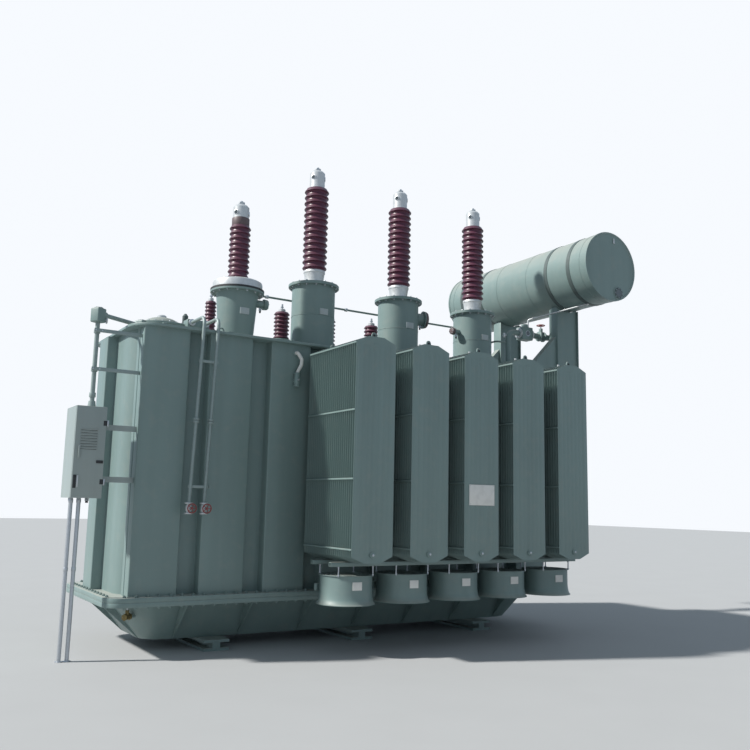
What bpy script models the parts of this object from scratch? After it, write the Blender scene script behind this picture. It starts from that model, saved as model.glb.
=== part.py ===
"""Oil-immersed power transformer: a ribbed bell tank on a tapered lower tank, five panel
radiators with fans on each long side, high and low voltage bushings, an oil conservator on
two cantilever stands past the right-hand end, and a control cabinet at the left-hand end.

Metres, +Z up. X runs along the tank, the high voltage side faces -Y. The origin is at the
centre of the tank's base, on the ground.
"""
import math

import bmesh
import bpy
from mathutils import Matrix, Vector

# Clearances
SEAT = 0.0003
OVERRUN = 0.02
MERGE = 0.0001

# Skids across the tank's underside, which it rests on
SKID_HEIGHT = 0.12
SKID_WIDTH = 0.3
SKID_LENGTH = 1.6
SKID_SPACING = 1.9
SKID_WEB = 0.09
SKID_FLANGE = 0.03

# Lower tank, narrower at the bottom
LOWER_BOTTOM_LENGTH = 5.3
LOWER_BOTTOM_WIDTH = 1.06
LOWER_PLATE_THICKNESS = 0.02
LOWER_GUSSET_REACH = 0.19

# Bell tank with its stiffening boxes
TANK_LENGTH = 6.0
TANK_WIDTH = 1.5
TANK_CORNER = 0.35
TANK_TOP = 3.55
RIB_COUNT = 8
RIB_PITCH = 0.77
RIB_WIDTH = 0.53
RIB_DEPTH = 0.15
END_RIB_WIDTH = 0.36
END_RIB_DEPTH = 0.12
END_RIB_OFFSET = 0.2

# Flange pair between the lower tank and the bell
FLANGE_LOW = 0.53
FLANGE_THICKNESS = 0.05
FLANGE_REACH = 0.09
FLANGE_END_REACH = 0.2
FLANGE_LENGTH = TANK_LENGTH + 2 * FLANGE_END_REACH
FLANGE_WIDTH = TANK_WIDTH + 2 * (RIB_DEPTH + FLANGE_REACH)
FLANGE_CORNER = 0.2

# Cover plate
COVER_OVERHANG = 0.08
COVER_LENGTH = TANK_LENGTH + 2 * COVER_OVERHANG
COVER_WIDTH = TANK_WIDTH + 2 * (RIB_DEPTH + COVER_OVERHANG)
COVER_CORNER = 0.32
COVER_THICKNESS = 0.03
COVER_TOP = TANK_TOP + SEAT + COVER_THICKNESS

# Panel radiators, five on each long side
RADIATOR_COUNT = 5
RADIATOR_PITCH = 0.755
RADIATOR_FIRST_X = -0.72
RADIATOR_WIDTH = 0.52
RADIATOR_LOW = 1.02
RADIATOR_HIGH = 3.5
RADIATOR_FRONT_Y = -2.15
PANEL_COUNT = 25
PANEL_PITCH = 0.045
PANEL_THICKNESS = 0.02
SHOULDER_DROP = 0.07
NECK_WIDTH = 0.2
NECK_HEIGHT = 0.075
HEADER_PIPE_RADIUS = 0.045
HEADER_PIPE_DROP = 0.12
HEADER_FLANGE_RADIUS = 0.085
HEADER_FLANGE_THICKNESS = 0.03
HEADER_FLANGE_GAP = 0.06

# Fans hung below the radiators
FAN_RADIUS = 0.31
FAN_MOUTH_RADIUS = 0.33
FAN_WALL = 0.02
FAN_HEIGHT = 0.32
FAN_FLARE_HEIGHT = 0.08
FAN_TOP = 0.87
FAN_HUB_RADIUS = 0.09
FAN_HUB_HEIGHT = 0.16
FAN_BLADE_WIDTH = 0.13
FAN_BLADE_THICKNESS = 0.012
FAN_BLADE_COUNT = 4
FAN_TIP_GAP = 0.03
FAN_BLADE_ANGLE = math.radians(28)
FAN_STRUT = 0.024
FAN_HANGER = 0.03
RAIL_WIDTH = 0.05
RAIL_HEIGHT = 0.05
RAIL_SPACING = 0.42
RAIL_OVERHANG = 0.06

# Turrets and bushings
HV_X = (-0.57, 0.785, 2.125)
HV_Y = -0.3
TURRET_RADIUS = 0.285
TURRET_FLANGE_RADIUS = 0.335
TURRET_FLANGE_THICKNESS = 0.04
TURRET_HEIGHT = 0.92
NEUTRAL_X = -1.65
NEUTRAL_TOP_RADIUS = 0.26
NEUTRAL_FOOT_RADIUS = 0.215
NEUTRAL_HEIGHT = 0.68
NEUTRAL_COLLAR_RADIUS = 0.31
NEUTRAL_COLLAR_HEIGHT = 0.125
HV_SHED_RADIUS = 0.165
HV_CORE_RADIUS = 0.11
HV_SHED_LENGTH = 1.19
HV_SHED_COUNT = 10
HV_FOOT_RADIUS = 0.15
HV_FOOT_HEIGHT = 0.2
HV_CAP_RADIUS = 0.09
HV_CAP_HEIGHT = 0.2
NEUTRAL_SHED_RADIUS = 0.135
NEUTRAL_CORE_RADIUS = 0.09
NEUTRAL_SHED_LENGTH = 0.72
NEUTRAL_SHED_COUNT = 6
NEUTRAL_FOOT_HEIGHT = 0.02
NEUTRAL_CAP_HEIGHT = 0.25
SHED_TIP_SHARE = 0.7
STUD_RADIUS = 0.022
STUD_HEIGHT = 0.07

# Low voltage bushings
LV_X = (-0.64, 0.1, 0.84)
LV_Y = 0.5
LV_SHED_RADIUS = 0.12
LV_CORE_RADIUS = 0.07
LV_SHED_LENGTH = 0.39
LV_SHED_COUNT = 4
LV_FOOT_RADIUS = 0.13
LV_FOOT_HEIGHT = 0.31
LV_CAP_RADIUS = 0.05
LV_CAP_HEIGHT = 0.05

# Small bushing beside the low voltage row
SMALL_X = -1.69
SMALL_SHED_RADIUS = 0.075
SMALL_CORE_RADIUS = 0.045
SMALL_SHED_LENGTH = 0.46
SMALL_SHED_COUNT = 4
SMALL_FOOT_RADIUS = 0.09
SMALL_FOOT_HEIGHT = 0.24
SMALL_CAP_RADIUS = 0.03

# Tap changer head, with the gear that its drive shaft comes to and a vent valve on its rim
TAP_X = -2.56
TAP_Y = -0.2
TAP_RADIUS = 0.34
TAP_HEIGHT = 0.13
TAP_DOME_RADIUS = 0.22
TAP_DOME_HEIGHT = 0.1
TAP_GEAR_REACH = 0.06
TAP_GEAR_WIDTH = 0.12
TAP_GEAR_HEIGHT = 0.12
VENT_RADIUS = 0.035
VENT_HEIGHT = 0.19
VENT_INSET = 0.05
DOME_WIDTH_SHARE = 0.5
DOME_HEIGHT_SHARE = 0.85

# Conservator and its stands
DRUM_X = 3.66
DRUM_Z = 5.2
DRUM_RADIUS = 0.52
DRUM_LENGTH = 3.26
DRUM_WALL = 0.012
DRUM_END_THICKNESS = 0.02
DRUM_SIDES = 32
STAND_INSET = 0.32
STAND_Y = COVER_WIDTH / 2 - STAND_INSET
STAND_WIDTH = 0.44
STAND_THICKNESS = 0.11
STAND_START_X = 2.42
STAND_BEAM_HEIGHT = 0.18
STAND_GUSSET_HEIGHT = 0.5
SADDLE_RISE = 0.16

# Oil pipe with the gas relay
OIL_PIPE_RADIUS = 0.045
OIL_PIPE_BEND = 0.12
OIL_PIPE_Y = -0.42
OIL_PIPE_X = 2.72
OIL_PIPE_Z = 4.3
OIL_FLANGE_RADIUS = 0.08
OIL_FLANGE_THICKNESS = 0.025
RELAY_X = 3.06
RELAY_LENGTH = 0.22
RELAY_WIDTH = 0.15
RELAY_HEIGHT = 0.2
RELAY_LID_RADIUS = 0.055
RELAY_LID_HEIGHT = 0.05

# Control cabinet with a hinged door
CABINET_LEFT = -3.63
CABINET_WIDTH = 0.31
CABINET_REACH = 0.125
CABINET_DEPTH = 0.42
CABINET_LOW = 1.65
CABINET_HEIGHT = 0.95
CABINET_WALL = 0.01
DOOR_GAP = 0.007
DOOR_THICKNESS = 0.022
HINGE_OFFSET = 0.014
HINGE_PIN_RADIUS = 0.006
HINGE_BORE_RADIUS = 0.007
HINGE_KNUCKLE_RADIUS = 0.0155
HINGE_KNUCKLE_HEIGHT = 0.06
HINGE_EAR_RADIUS = 0.009
HINGE_EAR_THICKNESS = 0.008
HINGE_EAR_DEPTH = 0.03
HINGE_PLAY = 0.0005
HINGE_INSET = 0.14
HANDLE_WIDTH = 0.02
HANDLE_HEIGHT = 0.14
HANDLE_DEPTH = 0.025
HANDLE_INSET = 0.035
BRACKET_WIDTH = 0.06
BRACKET_THICKNESS = 0.01
BRACKET_HEIGHTS = (1.85, 2.4)
BRACKET_Y = -(TANK_WIDTH + RIB_DEPTH) / 2
CABINET_FRONT = BRACKET_Y - CABINET_REACH
LEG_RADIUS = 0.021
LEG_SPACING = 0.08
LEG_INSET = 0.1
LEG_Y = CABINET_FRONT + CABINET_DEPTH / 2

# Shafts that drive the tap changer, up from the cabinet and across the cover
DRIVE_X = -3.43
DRIVE_Y = CABINET_FRONT + CABINET_DEPTH / 2
DRIVE_TUBE_RADIUS = 0.024
DRIVE_GEAR_WIDTH = 0.12
DRIVE_GEAR_RISE = 0.06
DRIVE_GEAR_DROP = 0.1
DRIVE_GUARD_RADIUS = 0.05
DRIVE_GUARD_HEIGHT = 0.08
DRIVE_BRACKET_HEIGHT = 0.04
DRIVE_BRACKET_DROP = 0.12
DRIVE_CLAMP_HEIGHT = 3.0

# Oil pipes from the tap changer head, over the cover and down the front wall
OUTLET_REACH = 0.05
OUTLET_HEIGHT = 0.18
OUTLET_MARGIN = 0.05
OUTLET_DEPTH = 0.16
TAP_PIPE_X = (-2.32, -2.15)
TAP_PIPE_LEAN = 0.07
TAP_PIPE_RISE = 0.14
TAP_PIPE_RADIUS = 0.02
TAP_PIPE_BEND = 0.1
TAP_PIPE_FOOT = 1.62
TAP_PIPE_STANDOFF = 0.02
STRAP_THICKNESS = 0.01
STRAP_WIDTH = 0.03
STRAP_HEIGHTS = (3.2, 1.8)
VALVE_RADIUS = 0.045
VALVE_HEIGHT = 0.11
WHEEL_RADIUS = 0.055
WHEEL_THICKNESS = 0.015
WHEEL_REACH = 0.1
WHEEL_STEM_RADIUS = 0.01

# Facets round a circle
FINE_SIDES = 16
SIDES = 14
COARSE_SIDES = 12
BUSHING_SIDES = 10
PIPE_SIDES = 8
PIPE_RESOLUTION = 1
CORNER_STEPS = 4
BEND_STEPS = 3

parts = None


def start_scene():
    """Empty the scene and make the collection that the parts go in."""
    global parts
    for old in list(bpy.data.objects):
        bpy.data.objects.remove(old, do_unlink=True)
    parts = bpy.data.collections.new("power_transformer")
    bpy.context.scene.collection.children.link(parts)


def make_material(name, colour, roughness, metallic):
    """A painted, glazed or bare metal finish."""
    material = bpy.data.materials.new(name)
    material.use_nodes = True
    shader = material.node_tree.nodes["Principled BSDF"]
    shader.inputs["Base Color"].default_value = (*colour, 1)
    shader.inputs["Roughness"].default_value = roughness
    shader.inputs["Metallic"].default_value = metallic
    return material


def add(name, mesh, material):
    """Put a mesh into the collection as one named part."""
    made = bpy.data.objects.new(name, mesh)
    if not mesh.materials:
        mesh.materials.append(material)
    parts.objects.link(made)
    return made


def evaluated_mesh(made):
    """The object's mesh with its modifiers applied and its loose caps welded."""
    bpy.context.view_layer.update()
    graph = bpy.context.evaluated_depsgraph_get()
    mesh = bpy.data.meshes.new_from_object(made.evaluated_get(graph))
    shape = bmesh.new()
    shape.from_mesh(mesh)
    bmesh.ops.remove_doubles(shape, verts=shape.verts, dist=MERGE)
    shape.to_mesh(mesh)
    shape.free()
    mesh.transform(made.matrix_world)
    return mesh


def bake(made):
    """Swap an object for a plain mesh of what its modifiers give."""
    name = made.name
    mesh = evaluated_mesh(made)
    data = made.data
    bpy.data.objects.remove(made, do_unlink=True)
    if isinstance(data, bpy.types.Curve):
        bpy.data.curves.remove(data)
    return add(name, mesh, None)


def box(name, low, high, material):
    """A block between two corners."""
    low = Vector(low)
    high = Vector(high)
    shape = bmesh.new()
    bmesh.ops.create_cube(shape, size=1)
    bmesh.ops.scale(shape, verts=shape.verts, vec=high - low)
    bmesh.ops.translate(shape, verts=shape.verts, vec=(low + high) / 2)
    mesh = bpy.data.meshes.new(name)
    shape.to_mesh(mesh)
    shape.free()
    return add(name, mesh, material)


def rod(name, start, end, radius, sides, material):
    """A round bar between two points."""
    start = Vector(start)
    run = Vector(end) - start
    shape = bmesh.new()
    bmesh.ops.create_cone(shape, cap_ends=True, segments=sides, radius1=radius, radius2=radius,
                          depth=run.length)
    turn = run.to_track_quat("Z", "Y").to_matrix().to_4x4()
    bmesh.ops.transform(shape, verts=shape.verts, matrix=Matrix.Translation(start + run / 2) @ turn)
    mesh = bpy.data.meshes.new(name)
    shape.to_mesh(mesh)
    shape.free()
    return add(name, mesh, material)


def turned(name, profile, centre, sides, material):
    """A solid of revolution from a profile of (radius, height), top to bottom."""
    mesh = bpy.data.meshes.new(name)
    points = [(radius, 0, height) for radius, height in profile]
    mesh.from_pydata(points, [(i, i + 1) for i in range(len(points) - 1)], [])
    made = add(name, mesh, material)
    screw = made.modifiers.new("turn", "SCREW")
    screw.steps = sides
    screw.render_steps = sides
    screw.use_merge_vertices = True
    screw.merge_threshold = MERGE
    made.location = centre
    return made


def rounded_route(corners, bend):
    """A route through corners, each one but the ends rounded by an arc of points."""
    corners = [Vector(corner) for corner in corners]
    route = [corners[0]]
    for before, corner, after in zip(corners, corners[1:], corners[2:]):
        back = (before - corner).normalized()
        ahead = (after - corner).normalized()
        centre = corner + (back + ahead) * bend
        for step in range(BEND_STEPS + 1):
            angle = math.pi / 2 * step / BEND_STEPS
            route.append(centre - ahead * bend * math.cos(angle) - back * bend * math.sin(angle))
    return route + [corners[-1]]


def tube(name, route, radius, material):
    """A round pipe with closed ends along a route of points."""
    curve = bpy.data.curves.new(name, "CURVE")
    curve.dimensions = "3D"
    curve.bevel_depth = radius
    curve.bevel_resolution = PIPE_RESOLUTION
    curve.use_fill_caps = True
    line = curve.splines.new("POLY")
    line.points.add(len(route) - 1)
    for point, place in zip(line.points, route):
        point.co = (*place, 1)
    made = bpy.data.objects.new(name, curve)
    curve.materials.append(material)
    parts.objects.link(made)
    return bake(made)


def plate(name, outline, thickness, place, material):
    """A flat outline of (x, y) points, thickened about its plane and then placed."""
    curve = bpy.data.curves.new(name, "CURVE")
    curve.dimensions = "2D"
    curve.fill_mode = "BOTH"
    curve.extrude = thickness / 2
    line = curve.splines.new("POLY")
    line.points.add(len(outline) - 1)
    for point, (x, y) in zip(line.points, outline):
        point.co = (x, y, 0, 1)
    line.use_cyclic_u = True
    made = bpy.data.objects.new(name, curve)
    curve.materials.append(material)
    parts.objects.link(made)
    made.matrix_world = place
    return bake(made)


def combine(made, tools, operation="UNION"):
    """Join other solids to one, or cut them from it, and remove them."""
    for tool in tools:
        step = made.modifiers.new(operation.lower(), "BOOLEAN")
        step.operation = operation
        step.solver = "EXACT"
        step.object = tool
    made = bake(made)
    for tool in tools:
        bpy.data.objects.remove(tool, do_unlink=True)
    return made


def rounded_rectangle(length, width, radius):
    """The corner points of a rectangle with round corners, about the origin."""
    outline = []
    for quarter, (sx, sy) in enumerate(((1, 1), (-1, 1), (-1, -1), (1, -1))):
        cx = sx * (length / 2 - radius)
        cy = sy * (width / 2 - radius)
        for step in range(CORNER_STEPS + 1):
            angle = math.pi / 2 * (quarter + step / CORNER_STEPS)
            outline.append((cx + radius * math.cos(angle), cy + radius * math.sin(angle)))
    return outline


def slab(name, length, width, radius, low, high, material):
    """A level rounded plate or block between two heights."""
    place = Matrix.Translation((0, 0, (low + high) / 2))
    return plate(name, rounded_rectangle(length, width, radius), high - low, place, material)


def make_skids(material):
    """Three I-beams across the tank that stand on the ground."""
    half_height = SKID_HEIGHT / 2
    half_width = SKID_WIDTH / 2
    half_web = SKID_WEB / 2
    inner = half_height - SKID_FLANGE
    side = ((half_width, -half_height), (half_width, -inner), (half_web, -inner), (half_web, inner),
            (half_width, inner), (half_width, half_height))
    outline = list(side) + [(-x, y) for x, y in reversed(side)]
    turn = Matrix.Rotation(math.pi / 2, 4, "X")
    for name, x in (("skid_left", -SKID_SPACING), ("skid_middle", 0), ("skid_right", SKID_SPACING)):
        plate(name, outline, SKID_LENGTH, Matrix.Translation((x, 0, half_height)) @ turn, material)


def make_lower_tank(material):
    """The tapered tray under the bell, with its flange and the gussets below it."""
    low = SKID_HEIGHT + SEAT
    made = slab("lower_tank", TANK_LENGTH, TANK_WIDTH, TANK_CORNER, low, FLANGE_LOW + OVERRUN, material)
    for vertex in made.data.vertices:
        if vertex.co.z < FLANGE_LOW:
            vertex.co.x *= LOWER_BOTTOM_LENGTH / TANK_LENGTH
            vertex.co.y *= LOWER_BOTTOM_WIDTH / TANK_WIDTH
    flange = slab("flange", FLANGE_LENGTH, FLANGE_WIDTH, FLANGE_CORNER, FLANGE_LOW,
                  FLANGE_LOW + FLANGE_THICKNESS, material)
    top = TANK_WIDTH / 2 + LOWER_GUSSET_REACH
    bottom = LOWER_BOTTOM_WIDTH / 2
    outline = [(top, FLANGE_LOW + OVERRUN), (-top, FLANGE_LOW + OVERRUN), (-bottom, low + OVERRUN),
               (bottom, low + OVERRUN)]
    turn = Matrix.Rotation(math.pi / 2, 4, "Z") @ Matrix.Rotation(math.pi / 2, 4, "X")
    gussets = []
    for step in range(RIB_COUNT - 1):
        x = (step - (RIB_COUNT - 2) / 2) * RIB_PITCH
        gussets.append(plate("gusset", outline, LOWER_PLATE_THICKNESS,
                             Matrix.Translation((x, 0, 0)) @ turn, material))
    return combine(made, [flange] + gussets)


def make_bell_tank(material):
    """The bell: round corners, its flange, and wide stiffening boxes on every side."""
    low = FLANGE_LOW + FLANGE_THICKNESS + SEAT
    made = slab("bell_tank", TANK_LENGTH, TANK_WIDTH, TANK_CORNER, low, TANK_TOP, material)
    tools = [slab("flange", FLANGE_LENGTH, FLANGE_WIDTH, FLANGE_CORNER, low, low + FLANGE_THICKNESS,
                  material)]
    rib_low = low + OVERRUN
    reach = TANK_WIDTH / 2 + RIB_DEPTH
    for step in range(RIB_COUNT):
        x = (step - (RIB_COUNT - 1) / 2) * RIB_PITCH
        tools.append(box("rib", (x - RIB_WIDTH / 2, -reach, rib_low),
                         (x + RIB_WIDTH / 2, reach, TANK_TOP), material))
    reach = TANK_LENGTH / 2 + END_RIB_DEPTH
    tools.append(box("end_rib", (-reach, END_RIB_OFFSET - END_RIB_WIDTH / 2, rib_low),
                     (reach, END_RIB_OFFSET + END_RIB_WIDTH / 2, TANK_TOP), material))
    return combine(made, tools)


def rib_edge():
    """The outer edge of the first stiffening box on a long side."""
    return -((RIB_COUNT - 1) * RIB_PITCH + RIB_WIDTH) / 2


def tap_strap_foot():
    """Where the pipe straps stand on the second stiffening box, in from its edge."""
    return rib_edge() + RIB_PITCH + STRAP_WIDTH


def make_cover(material):
    """The plate welded over the bell, a little wider than its ribs."""
    slab("tank_cover", COVER_LENGTH, COVER_WIDTH, COVER_CORNER, TANK_TOP + SEAT, COVER_TOP, material)


def radiator_depth():
    """From the first panel's outer face to the last one's."""
    return (PANEL_COUNT - 1) * PANEL_PITCH + PANEL_THICKNESS


def radiator_mesh(material):
    """One radiator about its own front face: panels joined at their necks, and two pipes."""
    depth = radiator_depth()
    height = RADIATOR_HIGH - RADIATOR_LOW
    half = RADIATOR_WIDTH / 2
    neck = NECK_WIDTH / 2
    side = ((neck, 0), (half, SHOULDER_DROP), (half, height - SHOULDER_DROP), (neck, height))
    outline = list(side) + [(-x, y) for x, y in reversed(side)]
    place = Matrix.Translation((0, depth / 2, 0)) @ Matrix.Rotation(math.pi / 2, 4, "X")
    made = plate("radiator", outline, depth, place, material)
    slot = box("slot", (-RADIATOR_WIDTH, PANEL_THICKNESS, NECK_HEIGHT),
               (RADIATOR_WIDTH, PANEL_PITCH, height - NECK_HEIGHT), material)
    row = slot.modifiers.new("row", "ARRAY")
    row.count = PANEL_COUNT - 1
    row.use_relative_offset = False
    row.use_constant_offset = True
    row.constant_offset_displace = (0, PANEL_PITCH, 0)
    made = combine(made, [slot], "DIFFERENCE")
    wall = -TANK_WIDTH / 2 - SEAT - RADIATOR_FRONT_Y
    pipes = []
    for z in (HEADER_PIPE_DROP, height - HEADER_PIPE_DROP):
        pipes.append(rod("pipe", (0, depth - PANEL_THICKNESS / 2, z), (0, wall, z), HEADER_PIPE_RADIUS,
                         PIPE_SIDES, material))
        start = depth + HEADER_FLANGE_GAP
        pipes.append(rod("ring", (0, start, z), (0, start + HEADER_FLANGE_THICKNESS, z),
                         HEADER_FLANGE_RADIUS, PIPE_SIDES, material))
    made = combine(made, pipes)
    mesh = made.data
    bpy.data.objects.remove(made, do_unlink=True)
    return mesh


def make_radiators(material):
    """Five radiators on each long side, facing away from the tank."""
    mesh = radiator_mesh(material)
    for step in range(RADIATOR_COUNT):
        x = RADIATOR_FIRST_X + step * RADIATOR_PITCH
        front = add("radiator_front_%d" % (step + 1), mesh, material)
        front.location = (x, RADIATOR_FRONT_Y, RADIATOR_LOW)
        back = add("radiator_back_%d" % (step + 1), mesh, material)
        back.location = (x, -RADIATOR_FRONT_Y, RADIATOR_LOW)
        back.rotation_euler = (0, 0, math.pi)


def fan_pieces(x, y, material):
    """One fan: a ring with a flared mouth, crossed struts, a hub and pitched blades."""
    low = FAN_TOP - FAN_HEIGHT
    inner = FAN_RADIUS - FAN_WALL
    flare = low + FAN_FLARE_HEIGHT
    profile = [(inner, FAN_TOP), (FAN_RADIUS, FAN_TOP), (FAN_RADIUS, flare), (FAN_MOUTH_RADIUS, low),
               (inner, flare - FAN_WALL), (inner, FAN_TOP)]
    ring = bake(turned("ring", profile, (x, y, 0), COARSE_SIDES, material))
    top = FAN_TOP - FAN_WALL
    hub = rod("hub", (x, y, top - FAN_HUB_HEIGHT), (x, y, top), FAN_HUB_RADIUS, PIPE_SIDES, material)
    pieces = [ring, hub]
    reach = FAN_RADIUS - FAN_WALL / 2
    half = FAN_STRUT / 2
    for across, along in ((reach, half), (half, reach)):
        pieces.append(box("strut", (x - across, y - along, top - 2 * FAN_STRUT),
                          (x + across, y + along, top - FAN_STRUT), material))
    middle = top - FAN_HUB_HEIGHT + FAN_BLADE_WIDTH / 2
    for step in range(FAN_BLADE_COUNT):
        blade = box("blade", (0, -FAN_BLADE_WIDTH / 2, -FAN_BLADE_THICKNESS / 2),
                    (inner - FAN_TIP_GAP, FAN_BLADE_WIDTH / 2, FAN_BLADE_THICKNESS / 2), material)
        turn = Matrix.Rotation(2 * math.pi * (step + 0.5) / FAN_BLADE_COUNT, 4, "Z")
        pitch = Matrix.Rotation(FAN_BLADE_ANGLE, 4, "X")
        blade.data.transform(Matrix.Translation((x, y, middle)) @ turn @ pitch)
        pieces.append(blade)
    return pieces


def make_fan_bank(name, side, material):
    """Two rails under one row of radiators, with a fan hung below each radiator."""
    centre_y = side * (-RADIATOR_FRONT_Y - radiator_depth() / 2)
    top = RADIATOR_LOW - SEAT
    low_x = RADIATOR_FIRST_X - RADIATOR_WIDTH / 2 - RAIL_OVERHANG
    last_x = RADIATOR_FIRST_X + (RADIATOR_COUNT - 1) * RADIATOR_PITCH
    high_x = last_x + RADIATOR_WIDTH / 2 + RAIL_OVERHANG
    rail_y = (centre_y - RAIL_SPACING / 2, centre_y + RAIL_SPACING / 2)
    rails = [box("rail", (low_x, y - RAIL_WIDTH / 2, top - RAIL_HEIGHT),
                 (high_x, y + RAIL_WIDTH / 2, top), material) for y in rail_y]
    rails[0].name = name
    tools = [rails[1]]
    hanger_x = math.sqrt((FAN_RADIUS - FAN_WALL / 2) ** 2 - (RAIL_SPACING / 2) ** 2)
    for step in range(RADIATOR_COUNT):
        x = RADIATOR_FIRST_X + step * RADIATOR_PITCH
        tools += fan_pieces(x, centre_y, material)
        half = FAN_HANGER / 2
        for y in rail_y:
            for offset in (-hanger_x, hanger_x):
                tools.append(box("hanger", (x + offset - half, y - half, FAN_TOP - OVERRUN),
                                 (x + offset + half, y + half, top - RAIL_HEIGHT / 2), material))
    return combine(rails[0], tools)


def turret_profile(top_radius, foot_radius, height):
    """A round riser with a flange at its top and a smaller one at its foot."""
    base = COVER_TOP + SEAT
    top = base + height
    foot = foot_radius + (TURRET_FLANGE_RADIUS - TURRET_RADIUS) / 2
    under = top - TURRET_FLANGE_THICKNESS
    over = base + TURRET_FLANGE_THICKNESS
    return [(0, top), (TURRET_FLANGE_RADIUS, top), (TURRET_FLANGE_RADIUS, under), (top_radius, under),
            (foot_radius, over), (foot, over), (foot, base), (0, base)]


def make_turrets(material):
    """Three risers for the phases and a lower one, with a collar, for the neutral."""
    for letter, x in zip("abc", HV_X):
        profile = turret_profile(TURRET_RADIUS, TURRET_RADIUS, TURRET_HEIGHT)
        turned("turret_" + letter, profile, (x, HV_Y, 0), FINE_SIDES, material)
    profile = turret_profile(NEUTRAL_TOP_RADIUS, NEUTRAL_FOOT_RADIUS, NEUTRAL_HEIGHT)
    top = profile[0][1]
    collar_top = top + NEUTRAL_COLLAR_HEIGHT
    profile = [(0, collar_top), (NEUTRAL_COLLAR_RADIUS, collar_top),
               (NEUTRAL_COLLAR_RADIUS, top)] + profile[1:]
    turned("turret_neutral", profile, (NEUTRAL_X, HV_Y, 0), FINE_SIDES, material)
    return collar_top


def bushing_profile(base, foot, sheds, cap):
    """Foot, ringed insulator, cap and terminal stud, top to bottom."""
    foot_radius, foot_height = foot
    shed_radius, core_radius, shed_length, shed_count = sheds
    cap_radius, cap_height = cap
    low = base + foot_height
    high = low + shed_length
    top = high + cap_height
    profile = [(0, top + STUD_HEIGHT), (STUD_RADIUS, top + STUD_HEIGHT), (STUD_RADIUS, top),
               (cap_radius, top), (cap_radius, high)]
    pitch = shed_length / shed_count
    for step in range(shed_count):
        upper = high - step * pitch
        profile += [(core_radius, upper), (shed_radius, upper - pitch * SHED_TIP_SHARE)]
    profile += [(core_radius, low), (foot_radius, low), (foot_radius, base), (0, base)]
    return profile


def make_bushings(material, neutral_base):
    """The three phase bushings, the neutral one and the low voltage row."""
    base = COVER_TOP + 2 * SEAT + TURRET_HEIGHT
    sheds = (HV_SHED_RADIUS, HV_CORE_RADIUS, HV_SHED_LENGTH, HV_SHED_COUNT)
    for letter, x in zip("abc", HV_X):
        profile = bushing_profile(base, (HV_FOOT_RADIUS, HV_FOOT_HEIGHT), sheds,
                                  (HV_CAP_RADIUS, HV_CAP_HEIGHT))
        turned("bushing_" + letter, profile, (x, HV_Y, 0), BUSHING_SIDES, material)
    sheds = (NEUTRAL_SHED_RADIUS, NEUTRAL_CORE_RADIUS, NEUTRAL_SHED_LENGTH, NEUTRAL_SHED_COUNT)
    profile = bushing_profile(neutral_base + SEAT, (HV_FOOT_RADIUS, NEUTRAL_FOOT_HEIGHT), sheds,
                              (HV_CAP_RADIUS, NEUTRAL_CAP_HEIGHT))
    turned("bushing_neutral", profile, (NEUTRAL_X, HV_Y, 0), BUSHING_SIDES, material)
    sheds = (LV_SHED_RADIUS, LV_CORE_RADIUS, LV_SHED_LENGTH, LV_SHED_COUNT)
    for step, x in enumerate(LV_X):
        profile = bushing_profile(COVER_TOP + SEAT, (LV_FOOT_RADIUS, LV_FOOT_HEIGHT), sheds,
                                  (LV_CAP_RADIUS, LV_CAP_HEIGHT))
        turned("lv_bushing_%d" % (step + 1), profile, (x, LV_Y, 0), BUSHING_SIDES, material)
    sheds = (SMALL_SHED_RADIUS, SMALL_CORE_RADIUS, SMALL_SHED_LENGTH, SMALL_SHED_COUNT)
    profile = bushing_profile(COVER_TOP + SEAT, (SMALL_FOOT_RADIUS, SMALL_FOOT_HEIGHT), sheds,
                              (SMALL_CAP_RADIUS, LV_CAP_HEIGHT))
    turned("small_bushing", profile, (SMALL_X, LV_Y, 0), PIPE_SIDES, material)


def drive_turn():
    """The angle of the level drive shaft, from its gear towards the tap changer's centre."""
    return math.atan2(TAP_Y - DRIVE_Y, TAP_X - DRIVE_X)


def make_tap_changer_head(material):
    """The round head of the tap changer, with a domed lid, a gear, a vent and an outlet block."""
    base = COVER_TOP + SEAT
    rim = base + TAP_HEIGHT
    profile = [(0, rim + TAP_DOME_HEIGHT),
               (TAP_DOME_RADIUS * DOME_WIDTH_SHARE, rim + TAP_DOME_HEIGHT * DOME_HEIGHT_SHARE),
               (TAP_DOME_RADIUS, rim), (TAP_RADIUS, rim), (TAP_RADIUS, base), (0, base)]
    made = bake(turned("tap_changer_head", profile, (TAP_X, TAP_Y, 0), SIDES, material))
    front = TAP_Y - TAP_RADIUS - OUTLET_REACH
    outlet = box("outlet", (TAP_PIPE_X[0] - OUTLET_MARGIN, front, base),
                 (TAP_PIPE_X[1] + OUTLET_MARGIN, front + OUTLET_DEPTH, base + OUTLET_HEIGHT), material)
    link = box("link", (TAP_X, front + OUTLET_DEPTH / 2, base),
               (TAP_PIPE_X[0], TAP_Y, base + TAP_GEAR_HEIGHT / 2), material)
    gear = box("gear", (-TAP_RADIUS - TAP_GEAR_REACH, -TAP_GEAR_WIDTH / 2, base),
               (0, TAP_GEAR_WIDTH / 2, base + TAP_GEAR_HEIGHT), material)
    gear.data.transform(Matrix.Translation((TAP_X, TAP_Y, 0)) @ Matrix.Rotation(drive_turn(), 4, "Z"))
    vent_x = TAP_X + TAP_RADIUS - VENT_INSET
    vent = rod("vent", (vent_x, TAP_Y, base + TAP_HEIGHT / 2), (vent_x, TAP_Y, rim + VENT_HEIGHT),
               VENT_RADIUS, PIPE_SIDES, material)
    return combine(made, [outlet, link, gear, vent])


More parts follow.
